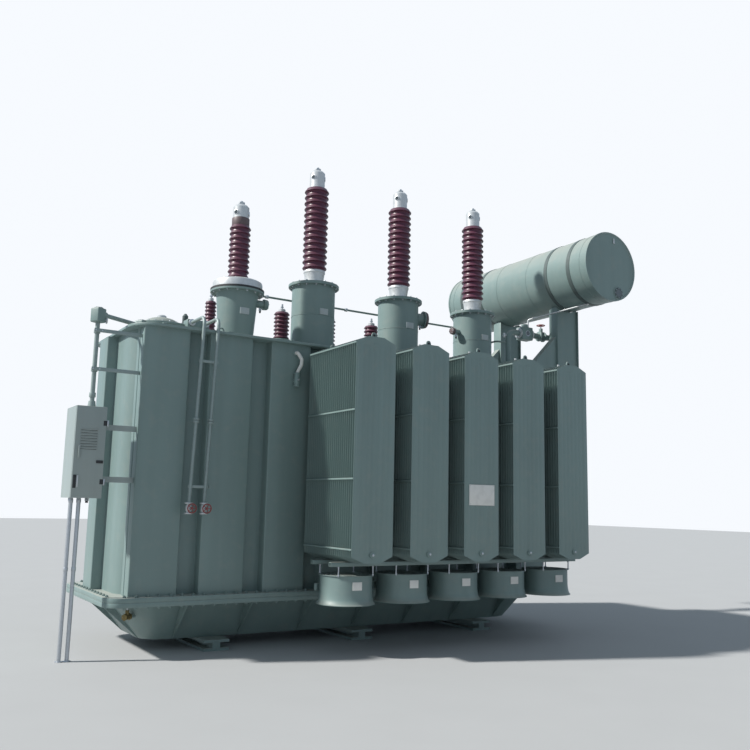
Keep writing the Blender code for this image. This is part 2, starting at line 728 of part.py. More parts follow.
def make_tap_drive(material):
    """A tube up from the cabinet, a bevel gear box, and a tube across to the tap changer head."""
    foot = CABINET_LOW + CABINET_HEIGHT + SEAT
    level = COVER_TOP + SEAT + TAP_GEAR_HEIGHT / 2
    half = DRIVE_GEAR_WIDTH / 2
    made = rod("tap_drive", (DRIVE_X, DRIVE_Y, foot), (DRIVE_X, DRIVE_Y, level), DRIVE_TUBE_RADIUS,
               PIPE_SIDES, material)
    turn = Matrix.Translation((DRIVE_X, DRIVE_Y, 0)) @ Matrix.Rotation(drive_turn(), 4, "Z")
    gear_low = level - DRIVE_GEAR_DROP
    gear = box("gear", (-half, -half, gear_low), (half, half, level + DRIVE_GEAR_RISE), material)
    gear.data.transform(turn)
    run = math.hypot(TAP_X - DRIVE_X, TAP_Y - DRIVE_Y) - TAP_RADIUS - TAP_GEAR_REACH - SEAT
    across = rod("across", (0, 0, level), (run, 0, level), DRIVE_TUBE_RADIUS, PIPE_SIDES, material)
    across.data.transform(turn)
    guard = rod("guard", (DRIVE_X, DRIVE_Y, foot), (DRIVE_X, DRIVE_Y, foot + DRIVE_GUARD_HEIGHT),
                DRIVE_GUARD_RADIUS, PIPE_SIDES, material)
    tools = [gear, across, guard]
    for z in (gear_low - DRIVE_BRACKET_DROP, DRIVE_CLAMP_HEIGHT):
        tools.append(box("bracket", (DRIVE_X - DRIVE_GUARD_RADIUS, BRACKET_Y - BRACKET_THICKNESS / 2, z),
                         (rib_edge() - SEAT, BRACKET_Y + BRACKET_THICKNESS / 2, z + DRIVE_BRACKET_HEIGHT),
                         material))
        tools.append(box("clamp", (DRIVE_X - DRIVE_GUARD_RADIUS, BRACKET_Y - BRACKET_THICKNESS / 2, z),
                         (DRIVE_X + DRIVE_GUARD_RADIUS, DRIVE_Y + DRIVE_GUARD_RADIUS,
                          z + DRIVE_BRACKET_HEIGHT), material))
    return combine(made, tools)


def make_tap_pipes(material):
    """Two oil pipes strapped together, each down to a valve with a hand wheel."""
    start = TAP_Y - TAP_RADIUS - OUTLET_REACH - SEAT
    level = COVER_TOP + TAP_PIPE_RISE
    y = -COVER_WIDTH / 2 - TAP_PIPE_STANDOFF - TAP_PIPE_RADIUS
    pieces = []
    z = TAP_PIPE_FOOT - VALVE_HEIGHT / 2
    lean = TAP_PIPE_LEAN / (level - z)
    for top_x in TAP_PIPE_X:
        x = top_x - TAP_PIPE_LEAN
        route = rounded_route([(top_x, start, level), (top_x, y, level), (x, y, z)], TAP_PIPE_BEND)
        pieces.append(tube("tap_pipes", route, TAP_PIPE_RADIUS, material))
        pieces.append(rod("valve", (x, y, TAP_PIPE_FOOT - VALVE_HEIGHT), (x, y, TAP_PIPE_FOOT),
                          VALVE_RADIUS, PIPE_SIDES, material))
        rim = y - WHEEL_REACH
        pieces.append(rod("stem", (x, y, z), (x, rim - WHEEL_THICKNESS / 2, z), WHEEL_STEM_RADIUS,
                          PIPE_SIDES, material))
        pieces.append(rod("wheel", (x, rim, z), (x, rim - WHEEL_THICKNESS, z), WHEEL_RADIUS,
                          COARSE_SIDES, material))
    for z in STRAP_HEIGHTS:
        low = z - STRAP_WIDTH / 2
        high = z + STRAP_WIDTH / 2
        left, right = (x - lean * (level - z) for x in TAP_PIPE_X)
        foot = tap_strap_foot()
        pieces.append(box("strap", (min(left, foot), y - STRAP_THICKNESS / 2, low),
                          (max(right, foot), y + STRAP_THICKNESS / 2, high), material))
        pieces.append(box("foot", (foot - STRAP_THICKNESS / 2, y, low),
                          (foot + STRAP_THICKNESS / 2, -TANK_WIDTH / 2 - RIB_DEPTH - SEAT, high),
                          material))
    return combine(pieces[0], pieces[1:])


def make_conservator(material):
    """A level drum along Y: an open shell and two end discs seated against it."""
    half = DRUM_LENGTH / 2 - DRUM_END_THICKNESS - SEAT
    inner = DRUM_RADIUS - DRUM_WALL
    turn = Matrix.Rotation(math.pi / 2, 4, "X")
    profile = [(inner, half), (DRUM_RADIUS, half), (DRUM_RADIUS, -half), (inner, -half), (inner, half)]
    shell = turned("conservator_shell", profile, (DRUM_X, 0, DRUM_Z), DRUM_SIDES, material)
    shell.rotation_euler = turn.to_euler()
    low = half + SEAT
    high = DRUM_LENGTH / 2
    for name, side in (("conservator_end_front", -1), ("conservator_end_back", 1)):
        rod(name, (DRUM_X, side * low, DRUM_Z), (DRUM_X, side * high, DRUM_Z), DRUM_RADIUS,
            DRUM_SIDES, material)


def make_stand(name, y, material):
    """A beam on the cover that reaches past its end, with a column and a saddle for the drum."""
    left = DRUM_X - STAND_WIDTH / 2
    right = DRUM_X + STAND_WIDTH / 2
    low = COVER_TOP + SEAT
    beam_top = low + STAND_BEAM_HEIGHT
    top = DRUM_Z - DRUM_RADIUS + SADDLE_RISE
    outline = [(STAND_START_X, low), (right, low), (right, top), (left, top),
               (left, beam_top + STAND_GUSSET_HEIGHT), (left - STAND_GUSSET_HEIGHT, beam_top),
               (STAND_START_X, beam_top)]
    turn = Matrix.Rotation(math.pi / 2, 4, "X")
    made = plate(name, outline, STAND_THICKNESS, Matrix.Translation((0, y, 0)) @ turn, material)
    drum = rod("drum", (DRUM_X, y - STAND_THICKNESS, DRUM_Z), (DRUM_X, y + STAND_THICKNESS, DRUM_Z),
               DRUM_RADIUS + SEAT, DRUM_SIDES, material)
    return combine(made, [drum], "DIFFERENCE")


def make_oil_pipes(material):
    """The pipe from the cover to the conservator, with the gas relay between its two lengths."""
    y = OIL_PIPE_Y
    z = OIL_PIPE_Z
    start = RELAY_X - RELAY_LENGTH / 2 - SEAT
    route = rounded_route([(OIL_PIPE_X, y, COVER_TOP + SEAT), (OIL_PIPE_X, y, z), (start, y, z)],
                          OIL_PIPE_BEND)
    made = tube("oil_pipe_lower", route, OIL_PIPE_RADIUS, material)
    foot = rod("foot", (OIL_PIPE_X, y, COVER_TOP + SEAT),
               (OIL_PIPE_X, y, COVER_TOP + SEAT + OIL_FLANGE_THICKNESS), OIL_FLANGE_RADIUS,
               COARSE_SIDES, material)
    ring = rod("ring", (start - OIL_FLANGE_THICKNESS, y, z), (start, y, z), OIL_FLANGE_RADIUS,
               COARSE_SIDES, material)
    combine(made, [foot, ring])
    end = RELAY_X + RELAY_LENGTH / 2 + SEAT
    route = rounded_route([(end, y, z), (DRUM_X, y, z), (DRUM_X, y, DRUM_Z - DRUM_RADIUS - SEAT)],
                          OIL_PIPE_BEND)
    made = tube("oil_pipe_upper", route, OIL_PIPE_RADIUS, material)
    ring = rod("ring", (end, y, z), (end + OIL_FLANGE_THICKNESS, y, z), OIL_FLANGE_RADIUS,
               COARSE_SIDES, material)
    combine(made, [ring])
    half = Vector((RELAY_LENGTH, RELAY_WIDTH, RELAY_HEIGHT)) / 2
    centre = Vector((RELAY_X, y, z))
    made = box("gas_relay", centre - half, centre + half, material)
    lid = rod("lid", (RELAY_X, y, z), (RELAY_X, y, z + RELAY_HEIGHT / 2 + RELAY_LID_HEIGHT),
              RELAY_LID_RADIUS, COARSE_SIDES, material)
    return combine(made, [lid])


def make_cabinet(material):
    """A sheet steel box, open at the front, with two hinge ears and pins on its right."""
    left = CABINET_LEFT
    right = left + CABINET_WIDTH
    front = CABINET_FRONT
    back = front + CABINET_DEPTH
    low = CABINET_LOW
    high = low + CABINET_HEIGHT
    made = box("cabinet_body", (left, front, low), (right, back, high), material)
    hollow = box("hollow", (left + CABINET_WALL, front - OVERRUN, low + CABINET_WALL),
                 (right - CABINET_WALL, back - CABINET_WALL, high - CABINET_WALL), material)
    made = combine(made, [hollow], "DIFFERENCE")
    tools = []
    axis_x = right + HINGE_OFFSET
    axis_y = front - DOOR_GAP - DOOR_THICKNESS / 2
    for z in hinge_heights():
        top = z - HINGE_PLAY
        bottom = top - HINGE_EAR_THICKNESS
        tools.append(rod("ear", (axis_x, axis_y, bottom), (axis_x, axis_y, top), HINGE_EAR_RADIUS,
                         COARSE_SIDES, material))
        tools.append(box("arm", (axis_x - HINGE_EAR_RADIUS, axis_y, bottom),
                         (axis_x + HINGE_EAR_RADIUS, front + HINGE_EAR_DEPTH, top), material))
        tools.append(box("lug", (right - CABINET_WALL / 2, front, bottom),
                         (axis_x, front + HINGE_EAR_DEPTH, top), material))
        tools.append(rod("pin", (axis_x, axis_y, bottom),
                         (axis_x, axis_y, z + HINGE_KNUCKLE_HEIGHT + HINGE_PLAY), HINGE_PIN_RADIUS,
                         COARSE_SIDES, material))
    for z in BRACKET_HEIGHTS:
        tools.append(box("bracket", (right - CABINET_WALL / 2, BRACKET_Y - BRACKET_THICKNESS / 2,
                                     z - BRACKET_WIDTH / 2),
                         (rib_edge() - SEAT, BRACKET_Y + BRACKET_THICKNESS / 2, z + BRACKET_WIDTH / 2),
                         material))
    return combine(made, tools)


def hinge_heights():
    """The undersides of the door's two knuckles."""
    low = CABINET_LOW + HINGE_INSET
    high = CABINET_LOW + CABINET_HEIGHT - HINGE_INSET - HINGE_KNUCKLE_HEIGHT
    return (low, high)


def make_cabinet_door(material):
    """A flat door with two knuckles round the pins and a handle at its free edge."""
    right = CABINET_LEFT + CABINET_WIDTH
    inner = CABINET_FRONT - DOOR_GAP
    outer = inner - DOOR_THICKNESS
    axis_x = right + HINGE_OFFSET
    axis_y = (inner + outer) / 2
    made = box("cabinet_door", (CABINET_LEFT, outer, CABINET_LOW),
               (right, inner, CABINET_LOW + CABINET_HEIGHT), material)
    middle = CABINET_LOW + CABINET_HEIGHT / 2
    tools = [box("handle", (CABINET_LEFT + HANDLE_INSET, outer - HANDLE_DEPTH, middle - HANDLE_HEIGHT / 2),
                 (CABINET_LEFT + HANDLE_INSET + HANDLE_WIDTH, outer + DOOR_THICKNESS / 2,
                  middle + HANDLE_HEIGHT / 2), material)]
    bores = []
    for z in hinge_heights():
        top = z + HINGE_KNUCKLE_HEIGHT
        tools.append(rod("knuckle", (axis_x, axis_y, z), (axis_x, axis_y, top), HINGE_KNUCKLE_RADIUS,
                         SIDES, material))
        bores.append(rod("bore", (axis_x, axis_y, z - OVERRUN), (axis_x, axis_y, top + OVERRUN),
                         HINGE_BORE_RADIUS, COARSE_SIDES, material))
    made = combine(made, tools)
    return combine(made, bores, "DIFFERENCE")


def make_cabinet_legs(material):
    """Two tubes from the ground to the cabinet's underside."""
    middle = CABINET_LEFT + LEG_INSET
    for name, side in (("cabinet_leg_left", -1), ("cabinet_leg_right", 1)):
        x = middle + side * LEG_SPACING / 2
        rod(name, (x, LEG_Y, 0), (x, LEG_Y, CABINET_LOW - SEAT), LEG_RADIUS, COARSE_SIDES, material)


def build():
    """Make every part of the transformer."""
    start_scene()
    paint = make_material("grey_green_paint", (0.24, 0.32, 0.31), 0.45, 0.0)
    steel = make_material("galvanised_steel", (0.55, 0.57, 0.6), 0.4, 0.8)
    glaze = make_material("brown_glaze", (0.24, 0.03, 0.03), 0.15, 0.0)
    box_paint = make_material("cabinet_paint", (0.5, 0.54, 0.53), 0.4, 0.0)
    make_skids(paint)
    make_lower_tank(paint)
    make_bell_tank(paint)
    make_cover(paint)
    make_radiators(paint)
    make_fan_bank("fan_bank_front", -1, paint)
    make_fan_bank("fan_bank_back", 1, paint)
    neutral_base = make_turrets(paint)
    make_bushings(glaze, neutral_base)
    make_tap_changer_head(paint)
    make_tap_drive(steel)
    make_tap_pipes(steel)
    make_conservator(paint)
    make_stand("conservator_stand_front", -STAND_Y, paint)
    make_stand("conservator_stand_back", STAND_Y, paint)
    make_oil_pipes(paint)
    make_cabinet(box_paint)
    make_cabinet_door(box_paint)
    make_cabinet_legs(steel)


build()
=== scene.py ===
"""Power transformer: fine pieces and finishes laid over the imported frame.

Run as a script. Each group of pieces is made by its own operator, from the sizes and colours in
the property groups and from the frame's own boxes. Metres, +Z up, high voltage side at -Y.
"""
import math

import bmesh
import bpy
from bpy.props import FloatProperty, FloatVectorProperty, IntProperty, PointerProperty
from mathutils import Matrix, Vector


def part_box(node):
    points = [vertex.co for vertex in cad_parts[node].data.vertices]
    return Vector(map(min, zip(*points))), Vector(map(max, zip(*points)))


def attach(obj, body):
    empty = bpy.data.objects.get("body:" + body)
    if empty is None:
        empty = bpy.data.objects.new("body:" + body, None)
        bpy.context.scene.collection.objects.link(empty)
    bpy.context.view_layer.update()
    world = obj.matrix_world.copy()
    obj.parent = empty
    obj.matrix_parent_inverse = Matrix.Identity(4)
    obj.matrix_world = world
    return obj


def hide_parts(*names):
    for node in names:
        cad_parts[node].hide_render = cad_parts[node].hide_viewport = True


bl_info = {
    "name": "Power Transformer",
    "version": (1, 0, 0),
    "blender": (4, 5, 0),
    "location": "3D View > Sidebar > Transformer",
    "description": "Fine pieces, finishes and studio for an oil-immersed power transformer",
    "category": "Object",
}

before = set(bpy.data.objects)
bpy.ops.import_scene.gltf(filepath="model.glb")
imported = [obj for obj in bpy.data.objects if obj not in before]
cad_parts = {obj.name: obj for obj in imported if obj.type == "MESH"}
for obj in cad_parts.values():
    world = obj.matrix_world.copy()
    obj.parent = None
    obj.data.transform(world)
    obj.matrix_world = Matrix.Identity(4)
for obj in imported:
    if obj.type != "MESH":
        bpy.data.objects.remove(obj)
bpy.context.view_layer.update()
UNIT = "transformer"
DOOR = "cabinet_door"
UP = Vector((0, 0, 1))
QUARTER = math.pi / 2
FULL = 2 * math.pi
SHARP_ANGLE = math.radians(34)
MERGE = 0.00005


def length(name, default, description):
    """A property that holds a length in metres."""
    return FloatProperty(name=name, description=description, default=default, unit="LENGTH", precision=4)


def count(name, default, description):
    """A property that holds a number of like pieces."""
    return IntProperty(name=name, description=description, default=default, min=1)


def colour(name, default, description):
    """A property that holds a linear colour."""
    return FloatVectorProperty(name=name, description=description, default=default, size=3,
                               subtype="COLOR", min=0, max=1)


class FinishSettings(bpy.types.PropertyGroup):
    """Colours of the paints, metals and glazes."""
    paint: colour("Paint", (0.19, 0.268, 0.262), "Grey-green enamel of the tank and radiators")
    # Strap colour: painted shade along the drum's raised straps; it also gives the dark hatch ring and the
    # vent valve.
    strap: colour("Strap", (0.08, 0.11, 0.108), "Dark paint of the hatch ring and vent valve; painted shade on the drum's straps")
    cabinet: colour("Cabinet paint", (0.31, 0.365, 0.36), "Lighter enamel of the drive cabinet")
    dust: colour("Dust", (0.42, 0.42, 0.38), "Dust that settles on level faces")
    glaze: colour("Glaze", (0.08, 0.009, 0.033), "Red-brown insulators")
    cap: colour("Cap", (0.58, 0.60, 0.61), "Silver paint of the bushing caps and collars")
    label: colour("Label", (0.42, 0.48, 0.50), "Bare weathered plates on the turrets")
    terminal: colour("Terminal", (0.13, 0.095, 0.10), "Brown lids of the terminal boxes")
    brass: colour("Brass", (0.22, 0.17, 0.07), "Brass of the drain valve")
    tube: colour("Tube", (0.27, 0.335, 0.33), "Weathered coat of the drive tubes and oil pipes")
    zinc: colour("Zinc", (0.50, 0.52, 0.54), "Galvanised bolts and tubes")
    plate: colour("Plate", (0.78, 0.78, 0.76), "Bare white sign plates")
    wheel: colour("Hand wheel", (0.25, 0.06, 0.058), "Red paint of the valve wheels")
    # This black is also used as painted shade: under the door's louvres, in a recess by the lock bar and in
    # the radiators' lifting eyes.
    rubber: colour("Rubber", (0.03, 0.032, 0.034), "Gaskets, cables and cable glands")
    glass: colour("Glass", (0.05, 0.06, 0.06), "Windows of the gauges and bushing caps")


class TankSettings(bpy.types.PropertyGroup):
    """Sizes of the tank that its box doesn't give."""
    length: length("Length", 6.0, "Outer length of the bell's wall")
    width: length("Width", 1.5, "Outer width of the bell's wall")
    corner: length("Corner", 0.35, "Radius of the bell's upright corners")
    rib_width: length("Rib width", 0.53, "Width of each stiffening box")
    rib_pitch: length("Rib pitch", 0.77, "Distance between stiffening boxes")
    rib_depth: length("Rib depth", 0.15, "How far the boxes stand off the wall")
    rib_count: count("Ribs", 8, "Stiffening boxes on each long side")
    end_rib_width: length("End rib width", 0.36, "Width of the box on each end wall")
    end_rib_depth: length("End rib depth", 0.12, "How far the end box stands off")
    end_rib_offset: length("End rib offset", 0.2, "The end box's place across the end wall")
    flange: length("Flange", 0.05, "Thickness of each flange")
    flange_corner: length("Flange corner", 0.2, "Radius of the flange's corners")
    cover_corner: length("Cover corner", 0.32, "Radius of the cover's corners")
    bottom_length: length("Bottom length", 5.3, "Length of the lower tank's floor")
    bottom_width: length("Bottom width", 1.06, "Width of the lower tank's floor")
    gusset: length("Gusset", 0.19, "How far the lower gussets reach out")
    gusset_plate: length("Gusset plate", 0.018, "Thickness of the lower gussets")
    weld: length("Weld", 0.007, "Radius of the weld beads along the stiffening boxes")
    fold: length("Fold", 0.014, "Radius of the stiffening boxes' folded edges")
    bolt_pitch: length("Bolt pitch", 0.125, "Distance between the flange bolts")


class RadiatorSettings(bpy.types.PropertyGroup):
    """Sizes of the panel radiators."""
    panels: count("Panels", 25, "Pressed panels in each radiator")
    thickness: length("Panel thickness", 0.02, "Thickness of one pressed panel over its flutes")
    flutes: count("Flutes", 7, "Upright flutes pressed into each panel")
    pitch: length("Panel pitch", 0.045, "Distance between panels")
    seam: length("Seam", 0.022, "Flat seam round each panel")
    shoulder: length("Shoulder", 0.07, "Height of the sloping shoulders")
    neck: length("Neck", 0.2, "Width of the level part at top and bottom")
    header: length("Header", 0.045, "Radius of the header pipes")
    header_drop: length("Header drop", 0.12, "Header pipes' distance from top and bottom")


class FanSettings(bpy.types.PropertyGroup):
    """Sizes of the fans below the radiators."""
    radius: length("Radius", 0.31, "Outer radius of the fan ring")
    mouth: length("Mouth", 0.33, "Radius of the flared lower mouth")
    top: length("Top", 0.87, "Height of the ring's upper edge")
    height: length("Height", 0.32, "Height of the fan ring")
    rail_spacing: length("Rail spacing", 0.42, "Distance between the two rails")
    rail: length("Rail", 0.05, "Width and height of each rail")
    blades: count("Blades", 7, "Blades of each fan")
    plate_low: length("Plate foot", 0.718, "Height of the bare plate's lower edge")
    plate_high: length("Plate top", 0.806, "Height of the bare plate's upper edge")


class BushingSettings(bpy.types.PropertyGroup):
    """Sizes of the bushings and turrets."""
    sheds: count("Sheds", 14, "Sheds of each high voltage bushing")
    neutral_sheds: count("Neutral sheds", 10, "Sheds of the neutral bushing")
    low_sheds: count("Low voltage sheds", 7, "Sheds of each low voltage bushing")
    small_sheds: count("Small sheds", 9, "Sheds of the small bushing")
    turret: length("Turret", 0.285, "Radius of the three phase turrets")
    neutral_top: length("Neutral top", 0.26, "Radius of the neutral turret under its flange")
    neutral_foot: length("Neutral foot", 0.215, "Radius of the neutral turret at its foot")
    flange: length("Flange", 0.335, "Radius of the turret flanges")
    flange_thickness: length("Flange thickness", 0.04, "Thickness of the turret flanges")
    collar: length("Collar", 0.31, "Radius of the neutral's silver collar")
    collar_height: length("Collar height", 0.125, "Height of the neutral's silver collar")
    foot: length("Foot", 0.2, "Height of the phase bushings' feet")
    cap: length("Cap", 0.255, "Height of the phase bushings' caps")
    crown: length("Crown", 0.102, "Radius of the bushings' caps")
    neutral_bushing_foot: length("Neutral bushing foot", 0.02, "Height of the neutral bushing's foot")
    neutral_cap: length("Neutral cap", 0.275, "Height of the neutral bushing's cap")
    neutral_tip: length("Neutral tip", 0.135, "Radius of the neutral bushing's sheds")
    low_foot: length("Low voltage foot", 0.31, "Height of the low voltage bushings' risers")
    small_foot: length("Small foot", 0.24, "Height of the small bushing's riser")


class ConservatorSettings(bpy.types.PropertyGroup):
    """Sizes of the oil conservator's fittings."""
    strap: length("Strap", 0.07, "Width of the straps round the drum")
    hatch: length("Hatch", 0.104, "Radius of the gauge hatch on the near end")


class CabinetSettings(bpy.types.PropertyGroup):
    """Faces of the cabinet that its boxes don't give, and its door's trim."""
    right: length("Right", -3.32, "The right-hand wall along the tank")
    back: length("Back", -0.53, "The back wall across the tank")
    wall: length("Wall", 0.01, "Thickness of the folded sheet")
    inner: length("Door inner face", -0.957, "The door's inner face across the tank")
    outer: length("Door outer face", -0.979, "The door's outer face across the tank")
    pin_x: length("Pin X", -3.306, "The hinge pins along the tank")
    pin_y: length("Pin Y", -0.968, "The hinge pins across the tank")
    louvres: count("Louvres", 8, "Louvres in the door")
    louvre_foot: length("Louvre foot", 2.16, "Height of the lowest louvre")
    louvre_pitch: length("Louvre pitch", 0.028, "Distance between louvres")
    handle: length("Handle", 2.125, "Height of the door's handle")
    rails: count("Rails", 3, "Terminal rails on the back plate")


class TapSettings(bpy.types.PropertyGroup):
    """Sizes of the tap changer's head, its drive and its oil pipes."""
    x: length("Head X", -2.56, "The head's centre along the tank")
    y: length("Head Y", -0.2, "The head's centre across the tank")
    radius: length("Radius", 0.34, "Radius of the head's flange")
    height: length("Height", 0.13, "Height of the flange over the cover")
    dome: length("Dome", 0.22, "Radius of the domed lid")
    dome_height: length("Dome height", 0.1, "Height of the domed lid")
    drive_x: length("Drive X", -3.43, "The upright drive tube along the tank")
    drive_y: length("Drive Y", -0.74, "The upright drive tube across the tank")
    tube: length("Tube", 0.024, "Radius of the drive tubes")
    bracket: length("Bracket", -2.9603, "How far the drive's brackets reach to the tank")
    bracket_y: length("Bracket Y", -0.83, "The brackets' front face across the tank")
    gear: length("Gear", 0.12, "Width of the gear boxes")
    gear_reach: length("Gear reach", 0.06, "How far the head's gear stands past its flange")
    pipe: length("Pipe", 0.02, "Radius of the oil pipes")
    pipe_y: length("Pipe Y", -1.02, "The oil pipes' distance out to the front")
    lean: length("Lean", 0.07, "How far the pipes' feet stand to the left")
    valve: length("Valve", 1.565, "Height of the valves' stems")


class StageSettings(bpy.types.PropertyGroup):
    """The camera and the studio."""
    eye: FloatVectorProperty(name="Eye", description="Place of the camera", size=3, subtype="XYZ",
                             default=(-5.567, -9.838, 1.65))
    right: FloatVectorProperty(name="Right", description="The image's right in the part frame", size=3,
                               default=(0.8449, -0.5345, 0.0216))
    down: FloatVectorProperty(name="Down", description="The image's downward direction", size=3,
                              default=(0.1004, 0.1189, -0.9878))
    lens: FloatProperty(name="Lens", description="Focal length in millimetres", default=39.81)
    sun: FloatProperty(name="Sun", description="Strength of the key light", default=5.0)
    sky: FloatProperty(name="Sky", description="Strength of the even light", default=0.34)
    floor: colour("Floor", (0.44, 0.45, 0.46), "Plain floor")


class TransformerSettings(bpy.types.PropertyGroup):
    """All settings of the transformer."""
    finish: PointerProperty(type=FinishSettings)
    tank: PointerProperty(type=TankSettings)
    radiator: PointerProperty(type=RadiatorSettings)
    fan: PointerProperty(type=FanSettings)
    bushing: PointerProperty(type=BushingSettings)
    conservator: PointerProperty(type=ConservatorSettings)
    cabinet: PointerProperty(type=CabinetSettings)
    tap: PointerProperty(type=TapSettings)
    stage: PointerProperty(type=StageSettings)


def settings():
    """The scene's transformer settings."""
    return bpy.context.scene.transformer


class Signal:
    """A shader socket that adds Math nodes when it is used in sums."""

    def __init__(self, graph, socket):
        self.graph = graph
        self.socket = socket

    def sums(self, operation, first, second):
        """One Math node."""
        return self.graph.node("ShaderNodeMath", {"operation": operation}, {0: first, 1: second})

    def __add__(self, other):
        return self.sums("ADD", self, other)

    __radd__ = __add__

    def __sub__(self, other):
        return self.sums("SUBTRACT", self, other)

    def __rsub__(self, other):
        return self.sums("SUBTRACT", other, self)

    def __mul__(self, other):
        return self.sums("MULTIPLY", self, other)

    __rmul__ = __mul__


class Graph:
    """A material's node tree, its Principled shader and a way to add nodes."""

    def __init__(self, name):
        self.material = bpy.data.materials.new(name)
        self.material.use_nodes = True
        self.tree = self.material.node_tree
        self.shader = self.tree.nodes["Principled BSDF"]

    def put(self, socket, value):
        """Link a signal to a socket, or set its value."""
        if isinstance(value, Signal):
            self.tree.links.new(value.socket, socket)
        elif hasattr(socket.default_value, "__len__") and len(socket.default_value) == 4:
            socket.default_value = (*value, 1)
        else:
            socket.default_value = value

    def node(self, kind, options=None, inputs=None, output=0):
        """Add a node with its settings, then the values or links of its sockets."""
        made = self.tree.nodes.new(kind)
        for key, value in (options or {}).items():
            if key == "stops":
                for stop, (place, level) in zip(made.color_ramp.elements, value):
                    stop.position = place
                    stop.color = (level, level, level, 1)
            else:
                setattr(made, key, value)
        for key, value in (inputs or {}).items():
            self.put(made.inputs[key], value)
        return Signal(self, made.outputs[output])

    def mapped(self, scale):
        """Object coordinates, stretched."""
        place = self.node("ShaderNodeTexCoord", output=3)
        return self.node("ShaderNodeMapping", None, {"Vector": place, "Scale": scale})

    def noise(self, scale, detail, stretch=(1, 1, 1)):
        """A noise level about one half."""
        return self.node("ShaderNodeTexNoise", None,
                         {"Vector": self.mapped(stretch), "Scale": scale, "Detail": detail})

    def ramp(self, value, low, high):
        """Nought at low and one at high."""
        return self.node("ShaderNodeValToRGB", {"stops": ((low, 0), (high, 1))}, {0: value})

    def mix(self, factor, first, second):
        """One colour mixed with another."""
        return self.node("ShaderNodeMix", {"data_type": "RGBA"}, {0: factor, 6: first, 7: second}, 2)

    def level_faces(self):
        """One on faces that look up, nought on upright ones."""
        normal = self.node("ShaderNodeNewGeometry", output=1)
        height = self.node("ShaderNodeSeparateXYZ", None, {0: normal}, 2)
        return self.ramp(height, 0.25, 0.9)

    def bump(self, height, distance, strength):
        """A height turned to a normal."""
        normal = self.node("ShaderNodeBump", None,
                           {"Height": height, "Distance": distance, "Strength": strength})
        self.surface(Normal=normal)

    def surface(self, **values):
        """Set or link sockets of the shader."""
        for key, value in values.items():
            self.put(self.shader.inputs[key.replace("_", " ")], value)


def shade(base, factor):
    """A colour made lighter or darker."""
    return tuple(min(1.0, part * factor) for part in base)


def paint_finish(name, base, gloss):
    """Weathered enamel: faded patches, rain streaks, dust on level faces and a fine skin."""
    graph = Graph(name)
    dust = tuple(settings().finish.dust)
    patches = graph.ramp(graph.noise(0.7, 4.0), 0.3, 0.75)
    streaks = graph.ramp(graph.noise(1.0, 5.0, (7.0, 7.0, 0.25)), 0.42, 0.72)
    grime = graph.ramp(graph.noise(9.0, 6.0), 0.52, 0.8)
    settled = graph.level_faces() * (graph.noise(5.0, 4.0) * 0.5 + 0.35)
    tone = graph.mix(patches, shade(base, 0.94), shade(base, 1.07))
    tone = graph.mix(streaks * 0.35, tone, shade(base, 0.8))
    tone = graph.mix(grime * 0.18, tone, shade(dust, 0.8))
    tone = graph.mix(settled, tone, dust)
    graph.surface(Base_Color=tone, Roughness=streaks * 0.08 + grime * 0.1 + settled * 0.3 + gloss)
    graph.bump(graph.noise(140.0, 2.0) + graph.noise(3.5, 2.0) * 3.0, 0.0006, 0.5)
    return graph.material


def glaze_finish(name, base):
    """Insulator sheds: deep red-brown with a dull sheen and a dusty upper side."""
    graph = Graph(name)
    depth = graph.noise(6.0, 3.0)
    tone = graph.mix(depth, shade(base, 0.8), shade(base, 1.25))
    settled = graph.level_faces() * 0.12
    tone = graph.mix(settled, tone, tuple(settings().finish.dust))
    graph.surface(Base_Color=tone, Roughness=settled * 0.6 + 0.42, Coat_Weight=0.12, Coat_Roughness=0.2)
    graph.bump(graph.noise(90.0, 3.0), 0.0003, 0.4)
    return graph.material


def metal_finish(name, base, roughness, metallic, scale):
    """Bare or silvered metal with a mottled skin."""
    graph = Graph(name)
    mottle = graph.noise(scale, 4.0)
    spots = graph.ramp(graph.noise(scale * 0.4, 5.0), 0.55, 0.8)
    tone = graph.mix(mottle, shade(base, 0.82), shade(base, 1.14))
    tone = graph.mix(spots * 0.3, tone, shade(base, 0.6))
    graph.surface(Base_Color=tone, Metallic=metallic, Roughness=mottle * 0.2 + roughness - 0.1)
    graph.bump(mottle, 0.0005, 0.4)
    return graph.material


def plain_finish(name, base, roughness, scale):
    """Paint, enamel plate or rubber with slight soiling."""
    graph = Graph(name)
    soil = graph.ramp(graph.noise(scale, 5.0), 0.45, 0.8)
    tone = graph.mix(soil * 0.4, base, shade(base, 0.6))
    graph.surface(Base_Color=tone, Roughness=soil * 0.2 + roughness)
    graph.bump(graph.noise(scale * 4, 2.0), 0.0003, 0.3)
    return graph.material


def glass_finish(name, base):
    """The window of a gauge."""
    graph = Graph(name)
    graph.surface(Base_Color=base, Roughness=0.06, Coat_Weight=1.0)
    return graph.material


